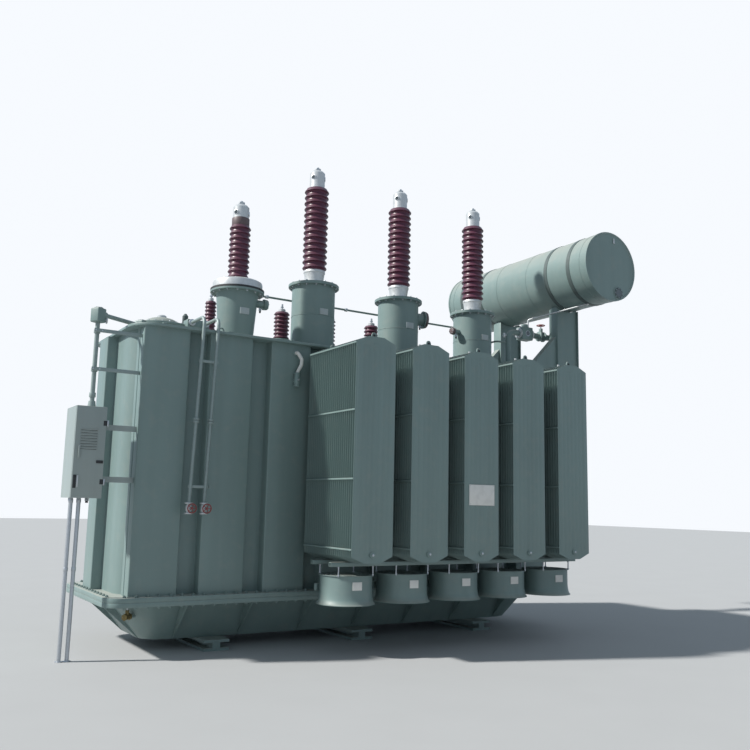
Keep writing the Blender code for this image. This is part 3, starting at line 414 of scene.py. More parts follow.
KINDS = {
    "paint": (paint_finish, "grey_green_enamel", (0.4,), "grey_green_paint"),
    # The strap finish paints shade on the drum's straps and is plain dark paint elsewhere.
    "strap": (plain_finish, "dark_strap_enamel", (0.5, 8.0), "grey_green_paint"),
    "cabinet": (paint_finish, "cabinet_enamel", (0.4,), "cabinet_paint"),
    "glaze": (glaze_finish, "red_brown_glaze", (), "brown_glaze"),
    "cap": (metal_finish, "silver_paint", (0.42, 0.35, 30.0), "galvanised_steel"),
    "zinc": (metal_finish, "zinc_coat", (0.45, 0.8, 60.0), "galvanised_steel"),
    "plate": (plain_finish, "white_enamel", (0.35, 12.0), "cabinet_paint"),
    "wheel": (plain_finish, "red_wheel_paint", (0.45, 30.0), "grey_green_paint"),
    "rubber": (plain_finish, "black_rubber", (0.65, 40.0), "grey_green_paint"),
    "label": (plain_finish, "weathered_plate", (0.45, 12.0), "cabinet_paint"),
    "terminal": (plain_finish, "brown_lid_paint", (0.5, 14.0), "grey_green_paint"),
    "brass": (metal_finish, "dull_brass", (0.5, 0.6, 50.0), "galvanised_steel"),
    "tube": (metal_finish, "weathered_tube", (0.5, 0.2, 40.0), "galvanised_steel"),
    "glass": (glass_finish, "gauge_glass", (), "cabinet_paint"),
}
FINISHES = {}


def make_finishes():
    """Make every finish once, each from its colour in the settings."""
    tones = settings().finish
    for key, (kind, name, levels, _) in KINDS.items():
        FINISHES[key] = kind(name, tuple(getattr(tones, key)), *levels)


def block(low, high, bevel=0.0, segments=2):
    """A box between two corners, with its edges rounded."""
    low = Vector(low)
    high = Vector(high)
    shape = bmesh.new()
    bmesh.ops.create_cube(shape, size=1)
    bmesh.ops.scale(shape, vec=high - low, verts=shape.verts)
    bmesh.ops.translate(shape, vec=(low + high) / 2, verts=shape.verts)
    if bevel:
        soften(shape, shape.edges, bevel, segments)
    return shape


def soften(shape, edges, offset, segments=2):
    """Round some edges of a shape."""
    bmesh.ops.bevel(shape, geom=list(edges), offset=offset, offset_type="OFFSET", segments=segments,
                    profile=0.5, affect="EDGES", material=-1, clamp_overlap=True)


def upright_edges(shape):
    """The edges that run along Z."""
    return [edge for edge in shape.edges
            if abs((edge.verts[0].co - edge.verts[1].co).normalized().z) > 0.99]


def rounded_block(low, high, corner, bevel=0.0, segments=8):
    """A box with round upright corners and softened level edges."""
    shape = block(low, high)
    soften(shape, upright_edges(shape), corner, segments)
    if bevel:
        level = [edge for edge in shape.edges
                 if abs((edge.verts[0].co - edge.verts[1].co).normalized().z) < 0.01]
        soften(shape, level, bevel)
    return shape


def turn_to(direction):
    """A rotation that takes +Z to a direction."""
    return Vector(direction).to_track_quat("Z", "Y").to_matrix().to_4x4()


def bar(start, end, radius, sides=16, bevel=0.0, end_radius=None):
    """A round bar or cone between two points."""
    start = Vector(start)
    run = Vector(end) - start
    shape = bmesh.new()
    bmesh.ops.create_cone(shape, cap_ends=True, segments=sides, radius1=radius,
                          radius2=radius if end_radius is None else end_radius, depth=run.length)
    if bevel:
        rims = [edge for edge in shape.edges
                if abs(edge.verts[0].co.z - edge.verts[1].co.z) < MERGE]
        soften(shape, rims, bevel)
    bmesh.ops.transform(shape, matrix=Matrix.Translation(start + run / 2) @ turn_to(run),
                        verts=shape.verts)
    return shape


def turned(profile, place, direction=UP, sides=40):
    """A solid of revolution from a profile of (radius, height), top to bottom."""
    shape = bmesh.new()
    points = [shape.verts.new((radius, 0, height)) for radius, height in profile]
    edges = [shape.edges.new(pair) for pair in zip(points, points[1:])]
    bmesh.ops.spin(shape, geom=points + edges, cent=(0, 0, 0), axis=(0, 0, 1), dvec=(0, 0, 0),
                   angle=FULL, steps=sides, use_merge=True, use_duplicate=False)
    bmesh.ops.remove_doubles(shape, verts=shape.verts, dist=MERGE)
    bmesh.ops.recalc_face_normals(shape, faces=shape.faces)
    bmesh.ops.transform(shape, matrix=Matrix.Translation(place) @ turn_to(direction),
                        verts=shape.verts)
    return shape


def ring(place, radius, wire, direction=UP, sides=32, wire_sides=8):
    """A closed round wire."""
    shape = bmesh.new()
    made = bmesh.ops.create_circle(shape, cap_ends=False, radius=wire, segments=wire_sides)
    bmesh.ops.rotate(shape, cent=(0, 0, 0), matrix=Matrix.Rotation(QUARTER, 3, "X"),
                     verts=made["verts"])
    bmesh.ops.translate(shape, vec=(radius, 0, 0), verts=made["verts"])
    bmesh.ops.spin(shape, geom=list(shape.verts) + list(shape.edges), cent=(0, 0, 0), axis=(0, 0, 1),
                   dvec=(0, 0, 0), angle=FULL, steps=sides, use_merge=True, use_duplicate=False)
    bmesh.ops.remove_doubles(shape, verts=shape.verts, dist=MERGE)
    bmesh.ops.recalc_face_normals(shape, faces=shape.faces)
    bmesh.ops.transform(shape, matrix=Matrix.Translation(place) @ turn_to(direction),
                        verts=shape.verts)
    return shape


def pipe(corners, radius, bend, sides=14, steps=5):
    """A round pipe through corners: straight lengths are extruded and bends are spun."""
    corners = [Vector(corner) for corner in corners]
    shape = bmesh.new()
    made = bmesh.ops.create_circle(shape, cap_ends=True, radius=radius, segments=sides)
    run = (corners[1] - corners[0]).normalized()
    bmesh.ops.transform(shape, matrix=Matrix.Translation(corners[0]) @ turn_to(run),
                        verts=made["verts"])
    edges = list(shape.edges)
    place = corners[0]
    for index in range(1, len(corners)):
        run = (corners[index] - corners[index - 1]).normalized()
        last = index == len(corners) - 1
        ahead = run if last else (corners[index + 1] - corners[index]).normalized()
        angle = run.angle(ahead, 0)
        trim = bend * math.tan(angle / 2)
        stop = corners[index] - run * trim
        moved = bmesh.ops.extrude_edge_only(shape, edges=edges)["geom"]
        verts = [item for item in moved if isinstance(item, bmesh.types.BMVert)]
        bmesh.ops.translate(shape, vec=stop - place, verts=verts)
        edges = [item for item in moved if isinstance(item, bmesh.types.BMEdge)
                 and item.verts[0] in verts and item.verts[1] in verts]
        place = stop
        if angle > math.radians(1):
            inward = (ahead - run * ahead.dot(run)).normalized()
            moved = bmesh.ops.spin(shape, geom=verts + edges, cent=place + inward * bend,
                                   axis=run.cross(ahead).normalized(), dvec=(0, 0, 0), angle=angle,
                                   steps=steps, use_duplicate=False)["geom_last"]
            verts = [item for item in moved if isinstance(item, bmesh.types.BMVert)]
            edges = [item for item in moved if isinstance(item, bmesh.types.BMEdge)]
            place = corners[index] + ahead * trim
    bmesh.ops.edgeloop_fill(shape, edges=edges)
    bmesh.ops.recalc_face_normals(shape, faces=shape.faces)
    return shape


def flat(points, thickness, place, bevel=0.0):
    """A flat outline in XY, thickened about its plane and then placed."""
    shape = bmesh.new()
    face = shape.faces.new([shape.verts.new((x, y, -thickness / 2)) for x, y in points])
    made = bmesh.ops.extrude_face_region(shape, geom=[face])["geom"]
    bmesh.ops.translate(shape, vec=(0, 0, thickness),
                        verts=[item for item in made if isinstance(item, bmesh.types.BMVert)])
    bmesh.ops.recalc_face_normals(shape, faces=shape.faces)
    if bevel:
        soften(shape, shape.edges, bevel, 1)
    bmesh.ops.transform(shape, matrix=place, verts=shape.verts)
    return shape


def hexagon_bolt(size):
    """A washer, a hexagon head and the end of the shank above it, with its seat at Z nought."""
    shape = bar((0, 0, 0), (0, 0, size * 0.18), size * 1.15, 14)
    for piece in (bar((0, 0, size * 0.18), (0, 0, size * 0.85), size * 0.95, 6, size * 0.08),
                  bar((0, 0, size * 0.8), (0, 0, size * 1.25), size * 0.5, 8)):
        copy = bpy.data.meshes.new("bolt")
        piece.to_mesh(copy)
        piece.free()
        shape.from_mesh(copy)
        bpy.data.meshes.remove(copy)
    return shape


class Piece:
    """One joined mesh made of several shapes, each with its own finish."""

    def __init__(self):
        self.shape = bmesh.new()
        self.finishes = []

    def add(self, shape, finish, places=None):
        """Take in a shape, once or at several places."""
        if finish not in self.finishes:
            self.finishes.append(finish)
        mesh = bpy.data.meshes.new("shape")
        shape.to_mesh(mesh)
        shape.free()
        index = self.finishes.index(finish)
        mesh.polygons.foreach_set("material_index", [index] * len(mesh.polygons))
        for place in places or (Matrix.Identity(4),):
            copy = mesh.copy()
            copy.transform(place)
            self.shape.from_mesh(copy)
            bpy.data.meshes.remove(copy)
        bpy.data.meshes.remove(mesh)

    def bolt(self, size, places):
        """Take in zinc-coated hexagon bolts at several places."""
        self.add(hexagon_bolt(size), "zinc", places)

    def finish(self, name, replaced=(), body=UNIT):
        """Make the object and its body, and hide the frame nodes that it stands for."""
        mesh = bpy.data.meshes.new(name)
        self.shape.to_mesh(mesh)
        self.shape.free()
        for finish in self.finishes:
            mesh.materials.append(FINISHES[finish])
        mesh.shade_smooth()
        mesh.set_sharp_from_angle(angle=SHARP_ANGLE)
        made = bpy.data.objects.new(name, mesh)
        bpy.context.scene.collection.objects.link(made)
        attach(made, body)
        if replaced:
            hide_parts(*replaced)


def upright_of(node):
    """A node's lowest and highest corners, and its upright axis where it crosses the ground."""
    low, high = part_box(node)
    return low, high, Vector(((low.x + high.x) / 2, (low.y + high.y) / 2, 0))


def outward(angle):
    """The level direction at an angle in degrees from +X."""
    return Matrix.Rotation(math.radians(angle), 3, "Z") @ Vector((1, 0, 0))


def at(x, y, z, direction=UP):
    """A place that takes +Z to a direction."""
    return Matrix.Translation((x, y, z)) @ turn_to(direction)


def circle_places(centre, radius, number, direction=UP):
    """Places round a circle in the plane across a direction."""
    turn = Matrix.Translation(centre) @ turn_to(direction)
    return [turn @ Matrix.Rotation(FULL * step / number, 4, "Z") @ Matrix.Translation((radius, 0, 0))
            for step in range(number)]


def spread(low, high, pitch):
    """Even steps from low to high, about a pitch apart."""
    number = max(1, round((high - low) / pitch))
    return [low + (high - low) * step / number for step in range(number + 1)]


STAND_UP = Matrix.Rotation(QUARTER, 4, "X")
END_GUSSETS = (-0.32, 0.32)
DRAIN = (-2.88, -0.66, 0.4)
COVER_LINE = 0.12
HAND_HOLES = (-0.02, 1.45)
RELIEF = -1.15
POCKET_LINE = 0.35
POCKETS = (-2.75, 1.05, 2.62)
EYE_LINE = -0.72
LIFTING_EYES = (-2.0, 0.1, 1.45, 2.75)


class TRANSFORMER_OT_tank(bpy.types.Operator):
    """Bell, cover and lower tank with welds, bolts and hand holes"""
    bl_idname = "transformer.tank"
    bl_label = "Tank"

    def execute(self, context):
        tank = settings().tank
        self.make_bell(tank)
        self.make_lower(tank)
        self.make_cover(tank)
        for name in ("skid_left", "skid_middle", "skid_right"):
            paint_node(name, "paint")
        return {"FINISHED"}

    def rib_places(self, tank):
        """Centres of the stiffening boxes along the tank."""
        return [(step - (tank.rib_count - 1) / 2) * tank.rib_pitch for step in range(tank.rib_count)]

    def make_bell(self, tank):
        """The upper tank with its boxes, flange and weld beads."""
        low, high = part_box("bell_tank")
        half = Vector((tank.length, tank.width)) / 2
        piece = Piece()
        piece.add(rounded_block((-half.x, -half.y, low.z), (half.x, half.y, high.z), tank.corner), "paint")
        foot = low.z + tank.flange
        reach = half.y + tank.rib_depth
        for x in self.rib_places(tank):
            for side in (-1, 1):
                near, far = sorted((side * (half.y - 0.1), side * reach))
                rib = block((x - tank.rib_width / 2, near, foot), (x + tank.rib_width / 2, far, high.z))
                outer = [edge for edge in upright_edges(rib)
                         if abs(edge.verts[0].co.y) > half.y]
                soften(rib, outer, tank.fold, 3)
                piece.add(rib, "paint")
                for edge in (-1, 1):
                    weld = x + edge * tank.rib_width / 2
                    piece.add(bar((weld, side * half.y, foot), (weld, side * half.y, high.z), tank.weld, 8),
                              "paint")
                piece.add(bar((x - tank.rib_width / 2, side * reach, foot),
                              (x + tank.rib_width / 2, side * reach, foot), tank.weld, 8), "paint")
        for side in (-1, 1):
            near, far = sorted((side * (half.x - 0.1), side * (half.x + tank.end_rib_depth)))
            rib = block((near, tank.end_rib_offset - tank.end_rib_width / 2, foot),
                        (far, tank.end_rib_offset + tank.end_rib_width / 2, high.z))
            outer = [edge for edge in upright_edges(rib) if abs(edge.verts[0].co.x) > half.x]
            soften(rib, outer, tank.fold, 3)
            piece.add(rib, "paint")
        piece.add(rounded_block((low.x, low.y, low.z), (high.x, high.y, foot), tank.flange_corner, 0.003),
                  "paint")
        self.add_flange_bolts(piece, tank, foot, UP)
        piece.finish("bell_tank_shell", ["bell_tank"])

    def add_flange_bolts(self, piece, tank, z, direction):
        """Bolts along all four sides of the flange."""
        low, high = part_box("bell_tank")
        inset = 0.055
        places = []
        for x in spread(low.x + tank.flange_corner, high.x - tank.flange_corner, tank.bolt_pitch):
            places += [at(x, low.y + inset, z, direction), at(x, high.y - inset, z, direction)]
        for y in spread(low.y + tank.flange_corner, high.y - tank.flange_corner, tank.bolt_pitch):
            places += [at(low.x + inset, y, z, direction), at(high.x - inset, y, z, direction)]
        piece.add(hexagon_bolt(0.019), "paint", places)

    def make_lower(self, tank):
        """The tapered tray, its gussets, flange and drain valve."""
        low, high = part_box("lower_tank")
        half = Vector((tank.length, tank.width)) / 2
        flange_low = high.z - tank.flange
        piece = Piece()
        tray = rounded_block((-half.x, -half.y, low.z), (half.x, half.y, flange_low + 0.01), tank.corner)
        for vert in tray.verts:
            if vert.co.z < flange_low:
                vert.co.x *= tank.bottom_length / tank.length
                vert.co.y *= tank.bottom_width / tank.width
        piece.add(tray, "paint")
        piece.add(rounded_block((low.x, low.y, flange_low), (high.x, high.y, high.z),
                                tank.flange_corner, 0.003), "paint")
        top = half.y + tank.gusset
        bottom = tank.bottom_width / 2
        for step in range(tank.rib_count - 1):
            x = (step - (tank.rib_count - 2) / 2) * tank.rib_pitch
            for side in (-1, 1):
                outline = [(side * top, flange_low), (side * (half.y - 0.1), flange_low),
                           (side * (bottom - 0.08), low.z), (side * bottom, low.z)]
                place = Matrix.Translation((x, 0, 0)) @ Matrix.Rotation(QUARTER, 4, "Z") @ STAND_UP
                piece.add(flat(outline, tank.gusset_plate, place), "paint")
        for side in (-1, 1):
            for y in END_GUSSETS:
                outline = [(side * (half.x + tank.gusset * 0.6), flange_low),
                           (side * (half.x - 0.2), flange_low),
                           (side * (tank.bottom_length / 2 - 0.08), low.z),
                           (side * tank.bottom_length / 2, low.z)]
                piece.add(flat(outline, tank.gusset_plate, Matrix.Translation((0, y, 0)) @ STAND_UP), "paint")
        self.add_flange_bolts(piece, tank, flange_low, -UP)
        gasket = rounded_block((low.x + 0.012, low.y + 0.012, high.z - 0.004),
                               (high.x - 0.012, high.y - 0.012, high.z), tank.flange_corner)
        piece.add(gasket, "rubber")
        self.add_drain(piece, Vector(DRAIN))
        piece.finish("lower_tank_shell", ["lower_tank"])

    def add_drain(self, piece, drain):
        """The brass drain valve with its hand wheel, on a pipe at the tray's corner."""
        out = Vector((-0.77, -0.64, 0))
        piece.add(bar(drain - out * 0.3, drain - out * 0.03, 0.022, 18), "paint")
        for reach in (-0.05, 0.035):
            piece.add(bar(drain + out * reach, drain + out * (reach + 0.016), 0.038, 6, 0.003), "brass")
        piece.add(bar(drain - out * 0.04, drain + out * 0.04, 0.03, 20), "brass")
        piece.add(bar(drain, drain + UP * 0.07, 0.02, 16, 0.003), "brass")
        piece.add(bar(drain + UP * 0.07, drain + UP * 0.12, 0.007, 10), "zinc")
        piece.add(ring(drain + UP * 0.12, 0.035, 0.006, sides=24), "brass")
        piece.add(bar(drain + UP * 0.115, drain + UP * 0.125, 0.03, 5), "brass")

    def make_cover(self, tank):
        """The cover plate with hand holes, a relief valve, thermometer pockets, cleats and lifting eyes."""
        low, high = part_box("tank_cover")
        piece = Piece()
        piece.add(rounded_block(low, high, tank.cover_corner, 0.004, 10), "paint")
        top = high.z
        for x in HAND_HOLES:
            place = Vector((x, COVER_LINE, top))
            piece.add(turned([(0, 0.05), (0.17, 0.05), (0.175, 0.045), (0.175, 0.02), (0.15, 0.02),
                              (0.15, 0), (0, 0)], place), "paint")
            piece.bolt(0.012, circle_places(place + UP * 0.05, 0.15, 12))
        relief = Vector((RELIEF, COVER_LINE, top))
        piece.add(turned([(0, 0.17), (0.07, 0.17), (0.1, 0.14), (0.1, 0.07), (0.13, 0.065), (0.13, 0.03),
                          (0.1, 0.03), (0.1, 0), (0, 0)], relief), "paint")
        piece.add(bar(relief + UP * 0.16, relief + UP * 0.215, 0.012, 10), "wheel")
        for x in POCKETS:
            pocket = Vector((x, POCKET_LINE, top))
            piece.add(bar(pocket, pocket + UP * 0.06, 0.026, 16, 0.003), "paint")
            piece.add(bar(pocket + UP * 0.06, pocket + UP * 0.1, 0.017, 6), "zinc")
        for x in spread(low.x + tank.cover_corner, high.x - tank.cover_corner, tank.rib_pitch):
            for y, side in ((low.y, 1), (high.y, -1)):
                near, far = sorted((y + side * 0.004, y + side * 0.05))
                piece.add(block((x - 0.02, near, top), (x + 0.02, far, top + 0.012), 0.003), "paint")
        for x in LIFTING_EYES:
            eye = Vector((x, EYE_LINE, top))
            piece.add(bar(eye, eye + UP * 0.03, 0.035, 20, 0.003), "paint")
            piece.add(ring(eye + UP * 0.06, 0.03, 0.009, (0, 1, 0), 24, 8), "paint")
        piece.finish("tank_cover_plate", ["tank_cover"])


def paint_node(name, finish):
    """Give a frame node a finish of this file."""
    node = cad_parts[name]
    node.data.materials.clear()
    node.data.materials.append(FINISHES[finish])


def panel_shape(width, height, size):
    """One pressed panel: two fluted sheets, seamed at the rim, with sloping shoulders."""
    inner = width - 2 * size.seam
    pitch = inner / size.flutes
    columns = [(-width / 2, 0), (-inner / 2, 0)]
    for step in range(size.flutes):
        start = -inner / 2 + step * pitch
        columns += [(start + pitch * 0.02, 0.15), (start + pitch * 0.3, 1),
                    (start + pitch * 0.7, 1), (start + pitch * 0.98, 0.15)]
    columns += [(inner / 2, 0), (width / 2, 0)]
    rows = [(0, 0), (size.shoulder, 0), (size.shoulder + 0.02, 0), (size.shoulder + 0.055, 1)]
    rows += [(height - z, rise) for z, rise in reversed(rows)]
    shape = bmesh.new()
    made = bmesh.ops.create_grid(shape, x_segments=len(columns) - 1, y_segments=len(rows) - 1, size=1)
    rim = 0.0015
    for index, vert in enumerate(made["verts"]):
        x, across = columns[index % len(columns)]
        z, along = rows[index // len(columns)]
        narrow = size.neck / width if z in (0, height) else 1
        rise = across * along * (size.thickness / 2 - rim)
        vert.co = (x * narrow, -rim - rise, z)
    back = bmesh.ops.duplicate(shape, geom=list(shape.verts) + list(shape.edges) + list(shape.faces))
    sheet = [item for item in back["geom"] if isinstance(item, bmesh.types.BMVert)]
    bmesh.ops.scale(shape, vec=(1, -1, 1), verts=sheet)
    rims = [edge for edge in shape.edges if edge.is_boundary]
    bmesh.ops.bridge_loops(shape, edges=rims)
    bmesh.ops.recalc_face_normals(shape, faces=shape.faces)
    return shape


ROW = range(1, 6)
TIE_RISES = (0.147, 0.9, 1.65)
SIGN = (0.785, 1.785)


class TRANSFORMER_OT_radiators(bpy.types.Operator):
    """Ten radiators of pressed panels with headers, tie bars, valves, lifting eyes and plugs"""
    bl_idname = "transformer.radiators"
    bl_label = "Radiators"

    def execute(self, context):
        size = settings().radiator
        for side in ("front", "back"):
            for number in ROW:
                self.make_radiator("radiator_%s_%d" % (side, number), size)
        self.make_sign()
        return {"FINISHED"}

    def make_radiator(self, node, size):
        """One radiator in its node's box."""
        low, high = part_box(node)
        side = -1 if low.y < 0 else 1
        outer = low.y if side < 0 else high.y
        wall = high.y if side < 0 else low.y
        middle = (low.x + high.x) / 2
        width = high.x - low.x
        height = high.z - low.z
        last = outer - side * ((size.panels - 1) * size.pitch + size.thickness)
        piece = Piece()
        places = [Matrix.Translation((middle, outer - side * (size.thickness / 2 + step * size.pitch), low.z))
                  for step in range(size.panels)]
        piece.add(panel_shape(width, height, size), "paint", places)
        for z in (low.z + size.header_drop, high.z - size.header_drop):
            piece.add(bar((middle, outer - side * 0.004, z), (middle, wall, z), size.header, 20), "paint")
            self.add_valve(piece, middle, last - side * 0.06, z, side)
        self.add_ties(piece, middle, width, low, high, outer, last, size)
        self.add_top(piece, middle, outer, last, high.z, side)
        plug = Vector((middle, outer, low.z + 0.09))
        out = Vector((0, side, 0))
        piece.add(bar(plug - out * 0.01, plug + out * 0.008, 0.036, 24, 0.003), "paint")
        piece.add(bar(plug, plug + out * 0.016, 0.014, 6, 0.001), "zinc")
        piece.finish(node + "_panels", [node])

    def add_valve(self, piece, x, start, z, side):
        """A butterfly valve between two flanges on a header pipe."""
        for step, radius in enumerate((0.085, 0.07, 0.085)):
            near = start - side * step * 0.022
            piece.add(bar((x, near, z), (x, near - side * 0.018, z), radius, 24, 0.002), "paint")
        for direction, shift in (((0, side, 0), 0.0), ((0, -side, 0), -side * 0.062)):
            places = circle_places((x, start + shift, z), 0.068, 6, direction)
            piece.bolt(0.009, places)
        middle = Vector((x, start - side * 0.031, z))
        piece.add(bar(middle, middle + UP * 0.1, 0.008, 10), "zinc")
        piece.add(block(middle + Vector((-0.045, -0.007, 0.095)), middle + Vector((0.012, 0.007, 0.103))),
                  "wheel")

    def add_ties(self, piece, middle, width, low, high, outer, last, size):
        """Flat bars welded across the panel edges, on both sides."""
        near, far = sorted((outer, last))
        heights = [low.z + rise for rise in TIE_RISES] + [high.z - size.shoulder - 0.015]
        for edge in (-1, 1):
            x = middle + edge * width / 2
            inner, out = sorted((x - edge * 0.012, x + edge * 0.005))
            for z in heights:
                piece.add(block((inner, near + 0.012, z - 0.009), (out, far - 0.004, z + 0.009), 0.002),
                          "paint")

    def add_top(self, piece, x, outer, last, top, side):
        """Lifting eyes and a bleed plug on the neck."""
        for y in (outer - side * 0.07, last + side * 0.09):
            outline = [(-0.05, -0.05), (0.05, -0.05), (0.028, 0.045), (0.012, 0.058), (-0.012, 0.058),
                       (-0.028, 0.045)]
            piece.add(flat(outline, 0.014, Matrix.Translation((x, y, top)) @ STAND_UP, 0.002), "paint")
            # A black disc in each eye is painted shade in place of its hole.
            piece.add(bar((x, y - 0.0085, top + 0.024), (x, y + 0.0085, top + 0.024), 0.015, 18), "rubber")
        plug = Vector((x, outer - side * 0.25, top - 0.012))
        piece.add(bar(plug, plug + UP * 0.03, 0.02, 16), "paint")
        piece.add(bar(plug + UP * 0.03, plug + UP * 0.055, 0.014, 6, 0.001), "cap")

    def make_sign(self):
        """The bare white plate on the middle radiator's front, on two strips."""
        low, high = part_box("radiator_front_3")
        piece = Piece()
        x, z = SIGN
        piece.add(block((x - 0.19, low.y - 0.006, z - 0.12), (x + 0.19, low.y - 0.002, z + 0.12), 0.001),
                  "plate")
        for dx in (-0.13, 0.13):
            piece.add(block((x + dx - 0.012, low.y - 0.002, z - 0.1),
                            (x + dx + 0.012, low.y + 0.006, z + 0.1)), "zinc")
        places = [at(x + dx, low.y - 0.0055, z + dz, (0, -1, 0))
                  for dx in (-0.175, 0.175) for dz in (-0.105, 0.105)]
        piece.add(bar((0, 0, 0), (0, 0, 0.001), 0.005, 10), "zinc", places)
        piece.finish("sign_plate")


PLATE_TURN = -5.5
BOX_TURN = 200


class TRANSFORMER_OT_fans(bpy.types.Operator):
    """Two banks of five fans on rails below the radiators"""
    bl_idname = "transformer.fans"
    bl_label = "Fans"

    def execute(self, context):
        size = settings().fan
        for side in ("front", "back"):
            self.make_bank("fan_bank_" + side, side, size)
        return {"FINISHED"}

    def make_bank(self, node, side, size):
        """Rails, hangers and fans of one side."""
        low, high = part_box(node)
        centres = []
        for number in ROW:
            centres.append(upright_of("radiator_%s_%d" % (side, number))[2].x)
        y = (low.y + high.y) / 2
        piece = Piece()
        for rail in (y - size.rail_spacing / 2, y + size.rail_spacing / 2):
            self.add_rail(piece, low.x, high.x, rail, high.z, size.rail)
        for x in centres:
            self.add_fan(piece, x, y, high.z - size.rail, size, -1 if side == "front" else 1)
        piece.finish(node + "_fine", [node])

    def add_rail(self, piece, low, high, y, top, size):
        """A channel section open downwards."""
        wall = 0.006
        half = size / 2
        piece.add(block((low, y - half, top - wall), (high, y + half, top), 0.001), "paint")
        for edge in (-1, 1):
            near, far = sorted((y + edge * half, y + edge * (half - wall)))
            piece.add(block((low, near, top - size), (high, far, top), 0.001), "paint")

    def add_fan(self, piece, x, y, rail_foot, size, side):
        """One fan with its ring, guards, motor, blades, hangers, bare plate and terminal box."""
        low = size.top - size.height
        radius = size.radius
        wall = 0.005
        profile = [(radius - 0.02, size.top), (radius, size.top), (radius, size.top - 0.006),
                   (radius - 0.014, size.top - 0.01), (radius - 0.014, low + 0.12),
                   (radius - 0.008, low + 0.07), (size.mouth - 0.016, low + 0.022), (size.mouth, low + 0.006),
                   (size.mouth, low), (size.mouth - 0.012, low), (size.mouth - 0.022, low + 0.02),
                   (radius - 0.014 - wall, low + 0.075), (radius - 0.02, low + 0.12),
                   (radius - 0.02, size.top)]
        place = Vector((x, y, 0))
        piece.add(turned(profile, place, sides=44), "paint")
        for level, reach in ((size.top - 0.004, radius - 0.02), (low + 0.012, size.mouth - 0.02)):
            for step in range(1, 7):
                piece.add(ring(place + UP * level, reach * step / 6.5, 0.003, sides=30, wire_sides=5),
                          "paint")
            for step in range(6):
                turn = Matrix.Rotation(math.pi * step / 6, 3, "Z") @ Vector((reach, 0, 0))
                piece.add(bar(place + turn + UP * level, place - turn + UP * level, 0.0035, 6), "paint")
        hub = size.top - 0.05
        piece.add(turned([(0, hub), (0.06, hub), (0.075, hub - 0.012), (0.075, hub - 0.14),
                          (0.055, hub - 0.155), (0, hub - 0.155)], place, sides=28), "paint")
        places = circle_places(place + UP * (hub - 0.07), 0.078, 20)
        piece.add(block((-0.008, -0.002, -0.055), (0.008, 0.002, 0.055)), "paint", places)
        for step in range(4):
            turn = Matrix.Rotation(QUARTER * step, 4, "Z")
            piece.add(block((0.05, -0.012, hub - 0.02), (radius - 0.016, 0.012, hub - 0.014)), "paint",
                      [Matrix.Translation(place) @ turn])
        rotor = Matrix.Translation(place + UP * (hub - 0.19))
        places = [rotor @ Matrix.Rotation(FULL * step / size.blades, 4, "Z") for step in range(size.blades)]
        piece.add(self.blade_shape(radius - 0.035), "zinc", places)
        piece.add(turned([(0, 0), (0.05, -0.005), (0.062, -0.03), (0.062, -0.07), (0, -0.075)],
                         place + UP * (hub - 0.15), sides=24), "zinc")
        reach = math.sqrt((radius - 0.005) ** 2 - (size.rail_spacing / 2) ** 2)
        for dx in (-reach, reach):
            for dy in (-size.rail_spacing / 2, size.rail_spacing / 2):
                spot = Vector((x + dx, y + dy, 0))
                piece.add(bar(spot + UP * (size.top - 0.012), spot + UP * (rail_foot + 0.045), 0.008, 10),
                          "zinc")
                piece.add(bar(spot + UP * (size.top - 0.002), spot + UP * (size.top + 0.012), 0.014, 6),
                          "zinc")
                piece.add(bar(spot + UP * (rail_foot + 0.004), spot + UP * (rail_foot - 0.008), 0.014, 6),
                          "zinc")
        edge = side * (radius - 0.014)
        near, far = sorted((edge, edge + side * 0.003))
        turn = Matrix.Rotation(math.radians(PLATE_TURN), 4, "Z")
        piece.add(block((-0.057, near, size.plate_low), (0.057, far, size.plate_high), 0.001), "plate",
                  [Matrix.Translation(place) @ turn])
        box = Vector((0.16, side * (radius - 0.03), 0.72))
        piece.add(block(box + Vector((-0.04, -0.02, -0.04)), box + Vector((0.04, 0.02, 0.04)), 0.004),
                  "paint", [Matrix.Translation(place) @ Matrix.Rotation(math.radians(BOX_TURN), 4, "Z")])

    def blade_shape(self, reach):
        """A pitched and twisted blade from the hub outwards."""
        shape = bmesh.new()
        made = bmesh.ops.create_grid(shape, x_segments=6, y_segments=4, size=1)
        for vert in made["verts"]:
            along = (vert.co.x + 1) / 2
            across = vert.co.y
            pitch = math.radians(38 - 18 * along)
            chord = 0.055 + 0.03 * along
            camber = 0.012 * (1 - across * across)
            out = 0.05 + (reach - 0.05) * along
            vert.co = (out, across * chord * math.cos(pitch) + 0.03 * along,
                       across * chord * math.sin(pitch) + camber)
        bmesh.ops.solidify(shape, geom=list(shape.faces), thickness=0.004)
        bmesh.ops.recalc_face_normals(shape, faces=shape.faces)
        return shape


def shed_profile(top, bottom, number, core, tip, second):
    """The sheds between two heights, with rounded tips that reach out to two radii by turns."""
    pitch = (top - bottom) / number
    profile = []
    for step in range(number):
        upper = top - step * pitch
        reach = tip if step % 2 == 0 else second
        profile += [(core, upper), (core + (reach - core) * 0.45, upper - pitch * 0.28),
                    (reach - 0.003, upper - pitch * 0.46), (reach, upper - pitch * 0.56),
                    (reach - 0.004, upper - pitch * 0.64),
                    (core + (reach - core) * 0.35, upper - pitch * 0.66), (core, upper - pitch * 0.82)]
    profile.append((core, bottom))
    return profile


CORE_SHARE = 0.83
LOW_CORE_SHARE = 0.8
PLATE_SHARE = 0.57
TERMINALS = {
    "turret_a": (34, 0.3, 0.075, "paint"),
    "turret_b": (-12, 0.235, 0.125, "terminal"),
    "turret_c": (186, 0.313, 0.055, "terminal"),
    "turret_neutral": (-4, 0.125, 0.07, "paint"),
}


